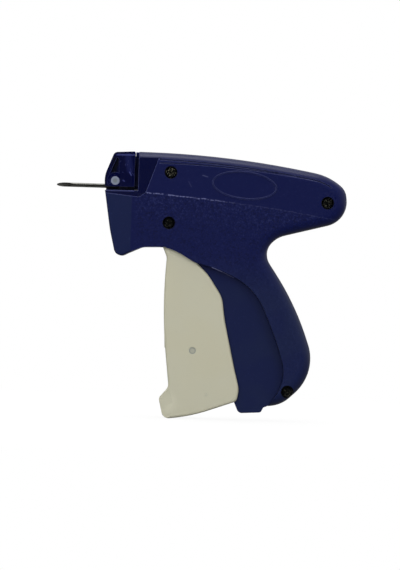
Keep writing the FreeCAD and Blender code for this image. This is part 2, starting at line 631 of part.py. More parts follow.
def cutter_blade():
    """Small steel blade at the foot of the clip slot."""
    back = SLOT_REAR_X - FLUSH
    top = LEDGE_Z + BLADE_T
    blade = block(SLOT_FRONT_X + FLUSH, back, -BLADE_END_Y, -BAR_HALF - FLUSH, LEDGE_Z, top)
    middle = Part.Vertex(back, -(BLADE_END_Y + BAR_HALF + FLUSH) / 2, top)
    edge = [e for e in blade.Edges if e.distToShape(middle)[0] < FLUSH]
    return blade.makeChamfer(BLADE_BEVEL, edge)


def needle_tube():
    """Hollow needle, slit along the user's left, with a slanting point."""
    tube = bar_x(NEEDLE_R, -NEEDLE_LENGTH, HUB_REAR_X).fuse(bar_x(SHANK_R, SHANK_X, HUB_REAR_X))
    tube = tube.cut(bar_x(NEEDLE_BORE_R, -NEEDLE_LENGTH - OVER, HUB_REAR_X + OVER))
    slit = block(-FAR, FAR, -FAR, 0, -NEEDLE_SLOT / 2, NEEDLE_SLOT / 2)
    tube = tube.cut(slit)
    tip = Vec(-NEEDLE_LENGTH, NEEDLE_R, 0)
    back = Vec(-NEEDLE_LENGTH + NEEDLE_POINT, -NEEDLE_R, 0)
    slope = tip - back
    wedge = [tip + slope, back - slope, back - slope - Vec(0, FAR, 0), tip + slope - Vec(0, FAR, 0)]
    cutter = Part.Face(Part.makePolygon([p - Vec(0, 0, FAR) for p in wedge + [wedge[0]]]))
    return tube.cut(cutter.extrude(Vec(0, 0, 2 * FAR))).removeSplitter()


def needle_hub():
    """Block moulded on the needle's back end."""
    body = block(HUB_FRONT_X, HUB_REAR_X, -HUB_HALF, HUB_HALF, HUB_BOTTOM, HUB_TOP)
    bore = bar_x(SHANK_R + SNUG, HUB_FRONT_X - OVER, HUB_REAR_X + OVER)
    slit = block(-FAR, FAR, -FAR, 0, -NEEDLE_SLOT / 2, NEEDLE_SLOT / 2)
    return body.cut([bore, slit])


def needle_cover():
    """Cover that swings on the hinge pin and holds the needle down."""
    pin = (PIN_X, PIN_Z)
    silhouette = prism(COVER_OUTLINE, 0, CASE_HALF)
    shape = silhouette.common(plan_body(COVER_INSET))
    shape = shape.fuse(disc(pin, COVER_BOSS_R, PIN_HEAD_T, COVER_BOSS_Y).common(silhouette))
    shape = shape.cut(cover_space())
    shape = shape.fuse(disc(pin, COVER_BORE_WALL_R, SEAT_HALF + GAP, COVER_BOSS_Y - ROOT))
    opening = math.radians(COVER_OPEN)
    fall = (PIN_X - COVER_OUTLINE[1][0]) * math.sin(opening)
    slot_top = PIN_Z + (NEEDLE_R + GAP - PIN_Z + fall) / math.cos(opening)
    needle_slot = block(-FAR, PIN_X - SEAT_FRONT_R, -OVER, NEEDLE_R + COVER_NEEDLE_GAP, -FAR, slot_top)
    bar_slot = block(BAR_FRONT_X - LINER_T, FAR, -OVER, BAR_HALF + 2 * GAP, 0, FAR)
    skin = plan_body(COVER_INSET + POCKET_DEPTH)
    pocket = prism(COVER_POCKET, 0, CASE_HALF).cut([skin, disc(pin, COVER_BOSS_R, 0, FAR)])
    scoop = prism(COVER_SCOOP, 0, CASE_HALF)
    scoop.rotate(Vec(COVER_SCOOP[0][0], 0, 0), Vec(0, 0, 1), -SCOOP_TURN)
    scoop = scoop.cut(block(-FAR, FAR, -FAR, CASE_HALF - COVER_INSET - SCOOP_DEPTH, -FAR, FAR))
    shape = shape.cut([needle_slot, bar_slot, pocket, scoop, disc(pin, PIN_R + RUN, 0, FAR)])
    shape = both_sides(shape)
    return shape.cut(disc(pin, PIN_HEAD_R + RUN, -COVER_BOSS_Y - OVER, -COVER_BOSS_Y + PIN_HEAD_T))


def cover_space():
    """Room inside the cover, on the +Y side."""
    front, belly, brow = COVER_OUTLINE[:3]
    roof = TOP_Z - COVER_WALL
    outline = [(front[0] + COVER_WALL, -FAR, 0), (belly[0] + COVER_WALL, belly[1], 10),
               (brow[0] + COVER_WALL / 2, roof, 2), (FAR, roof, 0), (FAR, -FAR, 0)]
    side = plan_body(COVER_INSET + COVER_WALL)
    return prism(outline, -OVER, CASE_HALF).common(side.fuse(side.mirror(Vec(0, 0, 0), MIRROR_Y)))


def cover_pin():
    """Hinge pin with a flush head on the user's left."""
    pin = (PIN_X, PIN_Z)
    head = disc(pin, PIN_HEAD_R, -COVER_BOSS_Y - FLUSH, -COVER_BOSS_Y + PIN_HEAD_T - SNUG)
    return head.fuse(disc(pin, PIN_R, -COVER_BOSS_Y, COVER_BOSS_Y - FLUSH)).removeSplitter()


# ================================================================ trigger
def trigger():
    """Hollow trigger that straddles the thin front of the grip."""
    body = prism(TRIGGER_OUTLINE, -TRIGGER_HALF, TRIGGER_HALF)
    shown = [e for y in (-TRIGGER_HALF, TRIGGER_HALF) for e in rim_edges(body, y, outside_case)]
    body = body.makeFillet(TRIGGER_EDGE_R, shown).cut(both_halves([toe_bevels()]))
    cheek = TRIGGER_HALF - TRIGGER_WALL
    core = Part.Face(outline_wire(TRIGGER_OUTLINE).makeOffset2D(-TRIGGER_FRONT_WALL))
    core.translate(Vec(0, -cheek, 0))
    space = [core.extrude(Vec(0, 2 * cheek, 0)),
             block(BOTTOM_WALL_X, 2 * FAR, -cheek, cheek, -3 * FAR, FAR),
             block(OPEN_BACK_X, 2 * FAR, -cheek, cheek, TRIGGER_FRONT[3][1], FAR),
             block(-FAR, 2 * FAR, -cheek, cheek, FRONT_WALL_TOP, FAR)]
    body = body.cut(space)
    inner = cheek - EAR_FREE
    hub = disc(TRIGGER_PIVOT, TRIGGER_HUB_R, TRIGGER_HUB_IN, TRIGGER_HALF)
    ear = arm(TRIGGER_PIVOT, EAR_ROOT_R, PAWL_XZ, EAR_R, TRIGGER_HUB_IN, inner)
    body = body.fuse(both_halves([hub, ear, drive_rib()]))
    cuts = [disc(TRIGGER_PIVOT, CUP_R + 2 * GAP, inner, TRIGGER_HALF + OVER),
            disc(TRIGGER_PIVOT, SLEEVE_R + RUN, 0, TRIGGER_HALF + OVER),
            disc(PAWL_XZ, PAWL_PIN_R + SNUG, 0, TRIGGER_HALF),
            disc(DRIVE_XZ, DRIVE_PIN_R + SNUG, 0, cheek)]
    gate = disc(GATE_XZ, GATE_R, -TRIGGER_HALF - OVER, -TRIGGER_HALF + GATE_DEPTH)
    return body.cut(both_halves(cuts) + [gate]).removeSplitter()


def toe_bevels():
    """What the two sloping faces take off the toe, on the -Y side."""
    side = -TRIGGER_HALF
    top, bend, foot = (Vec(x, side, z) for x, z in (TOE_TOP, TOE_BEND, TOE_FOOT))
    tip = Vec(TOE_TIP[0], side + TOE_BEVEL, TOE_TIP[1])
    slope = (bend - top).cross(tip - top)
    depth = ((top.x - TOE_EDGE[0]) * slope.x + (top.z - TOE_EDGE[1]) * slope.z) / slope.y
    edge = Vec(TOE_EDGE[0], side + depth, TOE_EDGE[1])
    out = bend + (edge - bend) * 2
    pieces = []
    for corners in ((top, bend, out, top + (out - bend)), (bend, foot, foot + (out - bend), out)):
        face = Part.Face(Part.makePolygon(list(corners) + [corners[0]]))
        pieces.append(face.extrude(Vec(0, -2 * TOE_BEVEL, 0)))
    return pieces[0].fuse(pieces[1])


def outside_case(x, z):
    """Test for points of the trigger's rim that lie outside the body."""
    return z < -36.5 or (z < -25 and x < 33)


def drive_rib():
    """Rib inside the trigger that carries the drive pin, on the +Y side."""
    x, z = DRIVE_XZ
    r = DRIVE_PIN_R + RIB_WALL
    front = TRIGGER_FRONT[1][0] + TRIGGER_FRONT_WALL / 2
    tip_r = r - FLUSH
    outline = [(front, z + 4 * r, 0), (x - r, z + r, 8), (x + r, z + r, tip_r), (x + r, z - r, tip_r),
               (x - r, z - r, 8), (front + OVER, z - 3 * r, 0)]
    return prism(outline, RIB_IN, RIB_OUT)


def both_halves(shapes):
    """A list of shapes together with their mirror images."""
    return shapes + [s.mirror(Vec(0, 0, 0), MIRROR_Y) for s in shapes]


def trigger_sleeve():
    """Steel sleeve around the middle screw, on which the trigger turns."""
    end = CUP_IN - FLUSH
    return disc(TRIGGER_PIVOT, SLEEVE_R, -end, end).cut(disc(TRIGGER_PIVOT, SLEEVE_BORE, -FAR, FAR))


def drive_pin():
    """Pin across the trigger's ribs that pushes the lever's fork."""
    return disc(DRIVE_XZ, DRIVE_PIN_R, -RIB_OUT, RIB_OUT)


# ================================================================ lever and slide
def drive_lever():
    """Lever: the fork below takes the trigger's pin, the long arm throws the slide."""
    long_arm = arm(LEVER_PIVOT, LEVER_HUB_R, TIP_XZ, LEVER_TIP_R, -LEVER_HALF, LEVER_HALF)
    slot_half = DRIVE_PIN_R + FORK_PLAY
    away = math.degrees(math.atan2(DRIVE_XZ[1] - LEVER_PIVOT[1], DRIVE_XZ[0] - LEVER_PIVOT[0]))
    fork_end = polar(LEVER_PIVOT, DRIVE_REACH + FORK_END, away)
    fork = arm(LEVER_PIVOT, LEVER_HUB_R, fork_end, slot_half + FORK_WALL, -LEVER_HALF, LEVER_HALF)
    slot_start = polar(LEVER_PIVOT, DRIVE_NEAR - 2 * FORK_PLAY, away)
    slot_end = polar(LEVER_PIVOT, 2 * DRIVE_REACH, away)
    slot = arm(slot_start, slot_half, slot_end, slot_half, -FAR, FAR)
    stud = disc(STUD_XZ, STUD_R, 0, RETURN_Y + RETURN_POST_END)
    body = long_arm.fuse([fork, stud])
    cuts = [slot, disc(LEVER_PIVOT, LEVER_PIN_R + RUN, -FAR, FAR),
            disc(TIP_XZ, TIP_PIN_R + SNUG, -FAR, FAR)]
    return body.cut(cuts).removeSplitter()


def lever_pin():
    """Pin on which the lever turns, held in both case halves."""
    end = THIN_HALF - LEVER_PIN_SKIN - FLUSH
    return disc(LEVER_PIVOT, LEVER_PIN_R, -end, end)


def tip_pin():
    """Cross pin at the lever's upper end, running in the slide's slots."""
    return disc(TIP_XZ, TIP_PIN_R, -SLIDE_HALF + GAP, SLIDE_HALF - GAP)


def slide():
    """Slide that carries the push rod, with a slotted cheek on each side of the lever."""
    mid = TIP_XZ[0]
    room_front = mid - LEVER_TIP_R - TIP_MARGIN
    front = block(SLIDE_FRONT, mid, -SLIDE_HALF, SLIDE_HALF, SLIDE_NOSE_BOTTOM, SLIDE_TOP)
    cheeks = block(room_front, SLIDE_REAR, -SLIDE_HALF, SLIDE_HALF, SLIDE_BOTTOM, SLIDE_TOP)
    tongue = block(SLIDE_FRONT + OVER, SLIDE_REAR, -TONGUE_OUT, TONGUE_OUT, -TONGUE_HALF, TONGUE_HALF)
    body = front.fuse([cheeks, tongue])
    side = LEVER_HALF + GAP
    room = block(room_front, mid + LEVER_TIP_R + TIP_SWING, -side, side, -FAR, FAR)
    highest = LEVER_PIVOT[1] + LEVER_ARM + TIP_PIN_R
    half = TIP_PIN_R + SLOT_PLAY
    skin = SLIDE_HALF - FLUSH
    slot = block(mid - half, mid + half, -skin, skin, -FAR, highest + GAP)
    rod = bar_x(ROD_R + SNUG, SLIDE_FRONT - OVER, SLIDE_FRONT + ROD_DEPTH + FLUSH)
    screw_foot = Vec(SLIDE_FRONT + ROD_SCREW_X, 0, 0)
    screw = Part.makeCylinder(ROD_SCREW_R + SNUG, FAR, screw_foot, Vec(0, 0, 1))
    return body.cut([room, slot, rod, screw]).removeSplitter()


def push_rod():
    """Steel wire that pushes each fastener through the needle."""
    return bar_x(ROD_R, ROD_TIP_X, SLIDE_FRONT + ROD_DEPTH)


def rod_screw():
    """Set screw that clamps the push rod in the slide."""
    foot = Vec(SLIDE_FRONT + ROD_SCREW_X, 0, ROD_R + SNUG)
    return Part.makeCylinder(ROD_SCREW_R, SLIDE_TOP - ROD_R - GAP, foot, Vec(0, 0, 1))


def slide_bumper():
    """Rubber pad that stops the slide at the end of its return."""
    return block(SLIDE_REAR + GAP, SLIDE_REAR + GAP + BUMPER_T, -SLIDE_HALF, SLIDE_HALF,
                 BUMPER_BOTTOM, SLIDE_TOP)


# ================================================================ feed
def feed_wheel():
    """Ratchet wheel that moves the strip of fasteners down by one."""
    rim = []
    step = 360 / WHEEL_TEETH
    for i in range(WHEEL_TEETH):
        rim.append(polar(WHEEL_XZ, WHEEL_TIP_R, i * step + TOOTH_LEAN))
        rim.append(polar(WHEEL_XZ, WHEEL_ROOT_R, i * step - TOOTH_LEAN))
    wheel = plate(rim, -WHEEL_HALF, WHEEL_HALF)
    hub = disc(WHEEL_XZ, WHEEL_HUB_R, -WHEEL_HUB_HALF, WHEEL_HUB_HALF)
    return wheel.fuse(hub).cut(disc(WHEEL_XZ, AXLE_R + RUN, -FAR, FAR)).removeSplitter()


def feed_axle():
    """Axle of the feed wheel."""
    return disc(WHEEL_XZ, AXLE_R, -IN_HALF, IN_HALF)


def feed_pawl():
    """Pawl that hangs on the trigger's ear and catches the feed wheel."""
    elbow = (WHEEL_XZ[0] + WHEEL_TIP_R + PAWL_ELBOW_R + FLUSH, WHEEL_XZ[1] - PAWL_ELBOW_DROP)
    tip = (WHEEL_XZ[0] + WHEEL_TIP_R + PAWL_TIP_R + FLUSH, WHEEL_XZ[1] - PAWL_TIP_R)
    hub = disc(PAWL_XZ, PAWL_HUB_R, -TRIGGER_HUB_IN + GAP, TRIGGER_HUB_IN - GAP)
    low = arm(PAWL_XZ, PAWL_PIN_R + GAP, elbow, PAWL_ELBOW_R, -PAWL_HALF, PAWL_HALF)
    high = arm(elbow, PAWL_ELBOW_R, tip, PAWL_TIP_R, -PAWL_HALF, PAWL_HALF)
    return hub.fuse([low, high]).cut(disc(PAWL_XZ, PAWL_PIN_R + RUN, -FAR, FAR)).removeSplitter()


def pawl_pin():
    """Pin that carries the pawl between the trigger's ears."""
    end = TRIGGER_HALF - TRIGGER_WALL - EAR_FREE
    return disc(PAWL_XZ, PAWL_PIN_R, -end, end)


def pawl_spring():
    """Coil on the pawl's hub that presses the pawl on the wheel."""
    inside = PAWL_HUB_R + FLUSH
    coil = disc(PAWL_XZ, inside + PAWL_COIL_T, PAWL_HALF + GAP, TRIGGER_HUB_IN - SNUG)
    return coil.cut(disc(PAWL_XZ, inside, -FAR, FAR))


def detent_spring():
    """Leaf that keeps the wheel from turning back."""
    low = WHEEL_XZ[1] + WHEEL_TIP_R + FLUSH
    return block(BLOCK_REAR_X, WHEEL_XZ[0] + LEAF_REACH, -LEAF_HALF, LEAF_HALF, low, low + LEAF_T)


# ================================================================ return spring
def return_spring():
    """Extension spring from the case post to the lever, as a sleeve of its coil size with end loops."""
    start = Vec(STUD_XZ[0], RETURN_Y, STUD_XZ[1])
    end = Vec(RETURN_POST[0], RETURN_Y, RETURN_POST[1])
    along = (end - start).normalize()
    loop_r = RETURN_POST_R + RETURN_WIRE_R + RUN
    a = start + along * (loop_r + RETURN_NECK)
    b = end - along * (loop_r + RETURN_NECK)
    length = a.distanceToPoint(b)
    cap = 2 * RETURN_WIRE_R
    coil = Part.makeCylinder(RETURN_COIL_R, length, a, along)
    coil = coil.cut(Part.makeCylinder(RETURN_COIL_R - cap, length - 2 * cap, a + along * cap, along))
    loops = [Part.makeTorus(loop_r, RETURN_WIRE_R, p, Vec(0, 1, 0)) for p in (start, end)]
    stem = RETURN_NECK + RETURN_WIRE_R
    stems = [Part.makeCylinder(RETURN_WIRE_R, stem, start + along * loop_r, along),
             Part.makeCylinder(RETURN_WIRE_R, stem, end - along * loop_r, along * -1)]
    return coil.fuse(loops + stems)


PIECES = {
    "left_case": left_case, "right_case": right_case, "case_screws": case_screws,
    "needle_seat": needle_seat, "clip_guide": clip_guide, "cutter_blade": cutter_blade,
    "needle_tube": needle_tube, "needle_hub": needle_hub, "needle_cover": needle_cover,
    "cover_pin": cover_pin, "trigger": trigger, "trigger_sleeve": trigger_sleeve,
    "drive_pin": drive_pin, "drive_lever": drive_lever, "lever_pin": lever_pin, "tip_pin": tip_pin,
    "slide": slide, "push_rod": push_rod, "rod_screw": rod_screw, "slide_bumper": slide_bumper,
    "feed_wheel": feed_wheel, "feed_axle": feed_axle, "feed_pawl": feed_pawl, "pawl_pin": pawl_pin,
    "pawl_spring": pawl_spring, "detent_spring": detent_spring, "return_spring": return_spring,
}

os.makedirs("parts", exist_ok=True)
for name, make in PIECES.items():
    shape = make()
    solids = len(shape.Solids)
    print(name, "solids", solids, "volume %.1f" % shape.Volume, "valid", shape.isValid())
    shape.exportStep("parts/%s.step" % name)

print("trigger pivot", TRIGGER_PIVOT, "lever pivot", LEVER_PIVOT, "drive pin", DRIVE_XZ)
print("slide travel %.3f" % SLIDE_TRAVEL, "lever ratio %.4f" % (LEVER_SWING / TRIGGER_TRAVEL))
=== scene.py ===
"""Looks of a hand-held garment tag attacher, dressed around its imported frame.

Each sub-assembly is a class: the case halves, the needle unit, the trigger
unit, the drive train, the feed, the fastenings, the springs and the studio.
Each finish is a frozen dataclass that builds its own material.  Lengths are
metres; a name that ends in _mm is in millimetres.
"""
import logging
import math
from dataclasses import dataclass, field
from enum import Enum
from typing import Any

import bpy
import numpy as np
from mathutils import Matrix, Vector


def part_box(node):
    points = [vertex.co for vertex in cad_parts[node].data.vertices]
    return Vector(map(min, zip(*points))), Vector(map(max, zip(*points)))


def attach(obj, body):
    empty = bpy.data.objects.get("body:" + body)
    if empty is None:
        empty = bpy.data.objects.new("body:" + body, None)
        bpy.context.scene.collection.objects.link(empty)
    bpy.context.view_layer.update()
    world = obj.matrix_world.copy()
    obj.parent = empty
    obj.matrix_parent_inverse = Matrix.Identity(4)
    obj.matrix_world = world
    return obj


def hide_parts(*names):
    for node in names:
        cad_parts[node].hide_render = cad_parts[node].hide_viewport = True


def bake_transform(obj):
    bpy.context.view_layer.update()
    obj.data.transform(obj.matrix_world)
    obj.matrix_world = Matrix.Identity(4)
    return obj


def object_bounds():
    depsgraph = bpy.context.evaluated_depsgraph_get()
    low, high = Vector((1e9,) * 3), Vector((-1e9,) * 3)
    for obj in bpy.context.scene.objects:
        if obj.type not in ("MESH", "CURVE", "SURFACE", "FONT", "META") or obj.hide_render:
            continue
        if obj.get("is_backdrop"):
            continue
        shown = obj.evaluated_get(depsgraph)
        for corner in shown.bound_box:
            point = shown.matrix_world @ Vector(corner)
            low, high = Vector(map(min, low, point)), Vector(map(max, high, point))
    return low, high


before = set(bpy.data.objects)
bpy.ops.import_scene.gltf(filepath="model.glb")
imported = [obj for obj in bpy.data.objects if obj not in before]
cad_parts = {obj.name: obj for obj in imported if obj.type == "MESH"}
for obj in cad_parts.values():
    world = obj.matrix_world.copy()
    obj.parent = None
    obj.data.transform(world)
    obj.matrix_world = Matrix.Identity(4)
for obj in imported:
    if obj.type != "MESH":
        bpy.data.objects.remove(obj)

log = logging.getLogger("tag_attacher")

MM = 0.001
Tree = bpy.types.NodeTree
Socket = bpy.types.NodeSocket
XYZ = tuple[Socket, Socket, Socket]
Point = tuple[float, float]                        # X and Z in the side view
Edge = tuple[float, float]                         # where a mask is still 0, and where it has become 1
Fade = tuple[float, float, float, float]           # the same two places, and the levels there
LEFT_SIDE_MM: Edge = (0.0, -1.0)                   # Y, for what is on the left side alone
EDGE_TURN: Edge = (0.985, 0.86)                    # cosine between the rounded normal and the face's own
MARK_CORE = 0.3                                    # share of a mark's half width that shows in full
BEVEL_SAMPLES, SKY_SAMPLES = 10, 6


class Rides(Enum):
    """Bodies that the new pieces ride on."""

    CASE = "body"
    TRIGGER = "trigger"
    LEVER = "lever"


# ---------------------------------------------------------------- colours and nodes
def linear(hex_colour: str) -> tuple[float, float, float, float]:
    """Turn an sRGB hex colour into linear light.

    Args:
        hex_colour: Six hex digits after a hash sign.
    Returns:
        Linear red, green, blue and an alpha of 1.
    """
    parts = np.array([int(hex_colour[i:i + 2], 16) for i in (1, 3, 5)]) / 255
    light = np.where(parts <= 0.04045, parts / 12.92, ((parts + 0.055) / 1.055) ** 2.4)
    return (*(float(v) for v in light), 1.0)


def add_node(tree: Tree, kind: str, inputs: dict[int | str, Any] | None = None,
             **settings: Any) -> bpy.types.Node:
    """Add one node with its settings and links.

    Args:
        tree: Node tree that takes the node.
        kind: The node's type, without the leading ShaderNode.
        inputs: Input name or place, mapped to a socket to link, or to a value; hex text is a colour.
        **settings: The node's own properties.
    Returns:
        The new node.
    """
    node = tree.nodes.new("ShaderNode" + kind)
    for name, value in settings.items():
        setattr(node, name, value)
    for key, value in (inputs or {}).items():
        socket = node.inputs[key]
        if isinstance(value, Socket):
            tree.links.new(value, socket)
        else:
            socket.default_value = linear(value) if isinstance(value, str) else value
    return node


def in_millimetres(tree: Tree) -> Socket:
    """The surface point in the object's own frame, in millimetres."""
    place = add_node(tree, "TexCoord").outputs["Object"]
    return add_node(tree, "Mapping", {"Vector": place, "Scale": (1 / MM,) * 3}).outputs[0]


def mask(tree: Tree, *factors: Any) -> Socket:
    """Masks multiplied together.

    Args:
        tree: Node tree.
        *factors: Each a socket, a number or an eased edge.  An edge is a value and then where its
            mask is still low, where it has become high, and both levels if they aren't 0 and 1.
    Returns:
        The product.
    """
    result = None
    for factor in factors:
        if isinstance(factor, tuple):
            value, start, end, low, high = factor if len(factor) == 5 else (*factor, 0.0, 1.0)
            factor = add_node(tree, "MapRange", {0: value, 1: start, 2: end, 3: low, 4: high},
                              interpolation_type="SMOOTHSTEP").outputs[0]
        if result is not None:
            factor = add_node(tree, "Math", {0: result, 1: factor}, operation="MULTIPLY").outputs[0]
        result = factor
    return result


def strongest(tree: Tree, *masks: Socket) -> Socket:
    """The largest of several masks."""
    result = masks[0]
    for other in masks[1:]:
        result = add_node(tree, "Math", {0: result, 1: other}, operation="MAXIMUM").outputs[0]
    return result


def band(tree: Tree, value: Socket, level: float, edge: Edge) -> Socket:
    """A mask for where a value is near a level, eased by the distance between the two."""
    off = add_node(tree, "Math", {0: value, 1: level}, operation="SUBTRACT").outputs[0]
    off = add_node(tree, "Math", {0: off}, operation="ABSOLUTE").outputs[0]
    return mask(tree, (off, *edge))


def layered(tree: Tree, base: Any, *coats: tuple[str, Socket]) -> Any:
    """Colours laid over one another, as coats of paint are.

    Args:
        tree: Node tree.
        base: Bare colour, as hex text.
        *coats: Hex colour of each coat, and the mask of where it covers.
    Returns:
        The colour of the whole stack.
    """
    for colour, cover in coats:
        base = add_node(tree, "Mix", {0: cover, 6: base, 7: colour}, data_type="RGBA").outputs[2]
    return base


def soft_edges(tree: Tree, radius_mm: float) -> tuple[Socket, Socket]:
    """Moulded edges rounded to a small radius, and where they are.

    The rounded normal is the mean of the faces within the radius.  An edge
    shows where that normal leaves the face's own.

    Args:
        tree: Node tree.
        radius_mm: Radius of the rounding.
    Returns:
        The rounded normal, and a value that is 1 on the edges.
    """
    rounded = add_node(tree, "Bevel", {"Radius": radius_mm * MM}, samples=BEVEL_SAMPLES).outputs[0]
    plain = add_node(tree, "NewGeometry").outputs["Normal"]
    dot = add_node(tree, "VectorMath", {0: rounded, 1: plain}, operation="DOT_PRODUCT").outputs["Value"]
    return rounded, mask(tree, (dot, *EDGE_TURN))


def spot(tree: Tree, xyz: XYZ, centre: Point) -> Socket:
    """Distance in the side view from a point, in millimetres."""
    flat = add_node(tree, "CombineXYZ", {0: xyz[0], 1: xyz[2]}).outputs[0]
    return add_node(tree, "VectorMath", {0: flat, 1: (*centre, 0.0)}, operation="DISTANCE").outputs["Value"]


@dataclass(frozen=True)
class Patches:
    """Soft random patches on a surface.

    Attributes:
        grain_mm: Size of a patch.
        start: Noise level at which they begin to show.
        end: Noise level at which they show in full.
        detail: How many finer octaves are laid over the noise.
        cover: Strength where they show in full.
    """

    grain_mm: float
    start: float
    end: float
    detail: float = 2.0
    cover: float = 1.0

    def strength(self, tree: Tree, place: Socket) -> Socket:
        """Mask of the patches, for a point in millimetres."""
        noise = add_node(tree, "TexNoise",
                         {"Vector": place, "Scale": 1 / self.grain_mm, "Detail": self.detail}).outputs[0]
        return mask(tree, (noise, self.start, self.end, 0.0, self.cover))


@dataclass(frozen=True)
class Mark:
    """A straight soft mark on the tool's left side, such as a scratch.

    Attributes:
        start: Start of the mark in the side view.
        end: End of the mark.
        half_mm: Half its width.
        cover: Strength along its middle.
    """

    start: Point
    end: Point
    half_mm: float
    cover: float = 1.0

    def strength(self, tree: Tree, xyz: XYZ) -> Socket:
        """Mask of the mark.

        The point's share of the way along the mark is clamped to 0 and 1.  The
        distance from the point to that place on the mark gives the strength.

        Args:
            tree: Node tree.
            xyz: Point in millimetres, as three values.
        Returns:
            The mark's cover along its middle and 0 away from it.
        """
        run = Vector(self.end) - Vector(self.start)
        flat = add_node(tree, "CombineXYZ", {0: xyz[0], 1: xyz[2]}).outputs[0]
        off = add_node(tree, "VectorMath", {0: flat, 1: (*self.start, 0.0)}, operation="SUBTRACT").outputs[0]
        share = add_node(tree, "VectorMath", {0: off, 1: (*(run / run.length_squared), 0.0)},
                         operation="DOT_PRODUCT").outputs["Value"]
        share = add_node(tree, "Clamp", {0: share}).outputs[0]
        foot = add_node(tree, "VectorMath", {0: (*run, 0.0), "Scale": share}, operation="SCALE").outputs[0]
        gap = add_node(tree, "VectorMath", {0: off, 1: foot}, operation="DISTANCE").outputs["Value"]
        return mask(tree, (gap, self.half_mm, MARK_CORE * self.half_mm, 0.0, self.cover),
                    (xyz[1], *LEFT_SIDE_MM))


# ---------------------------------------------------------------- finishes
@dataclass(frozen=True)
class Finish:
    """What every finish has: its name, the record's slot and its plain numbers.

    Attributes:
        name: Plain name of the material.
        slot: Material slot of the record; not used.
        base: sRGB hex colour of the bare material.
        roughness: Roughness of the surface.
        metallic: 1 for a metal.
        ior: Index of refraction, for what isn't metal.
    """

    name: str
    slot: str
    base: str
    roughness: float
    metallic: float = 0.0
    ior: float = 1.5

    def material(self) -> bpy.types.Material:
        """Build the material, with the finish's own pattern."""
        made = bpy.data.materials.new(self.name)
        made.use_nodes = True
        tree = made.node_tree
        shader = tree.nodes["Principled BSDF"]
        shader.inputs["Base Color"].default_value = linear(self.base)
        shader.inputs["Roughness"].default_value = self.roughness
        shader.inputs["Metallic"].default_value = self.metallic
        if not self.metallic:
            shader.inputs["IOR"].default_value = self.ior
        self.pattern(tree, shader)
        return made

    def pattern(self, tree: Tree, shader: bpy.types.Node) -> None:
        """Add the pattern to the plain shader; a finish with one overrides this."""

    def lay(self, tree: Tree, shader: bpy.types.Node, colour: Socket, height: Socket, depth_mm: float,
            normal: Socket | None = None, rough: Socket | None = None) -> None:
        """Link a pattern to the shader.

        Args:
            tree: Node tree.
            shader: The finish's shader.
            colour: Colour of the surface.
            height: Height of the surface, from 0 to 1.
            depth_mm: What a height of 1 stands for.
            normal: Rounded normal under the bump, if there is one.
            rough: Roughness, where it varies.
        """
        tree.links.new(colour, shader.inputs["Base Color"])
        if rough is not None:
            tree.links.new(rough, shader.inputs["Roughness"])
        bump = add_node(tree, "Bump", {"Height": height, "Distance": depth_mm * MM})
        if normal is not None:
            tree.links.new(normal, bump.inputs["Normal"])
        tree.links.new(bump.outputs[0], shader.inputs["Normal"])


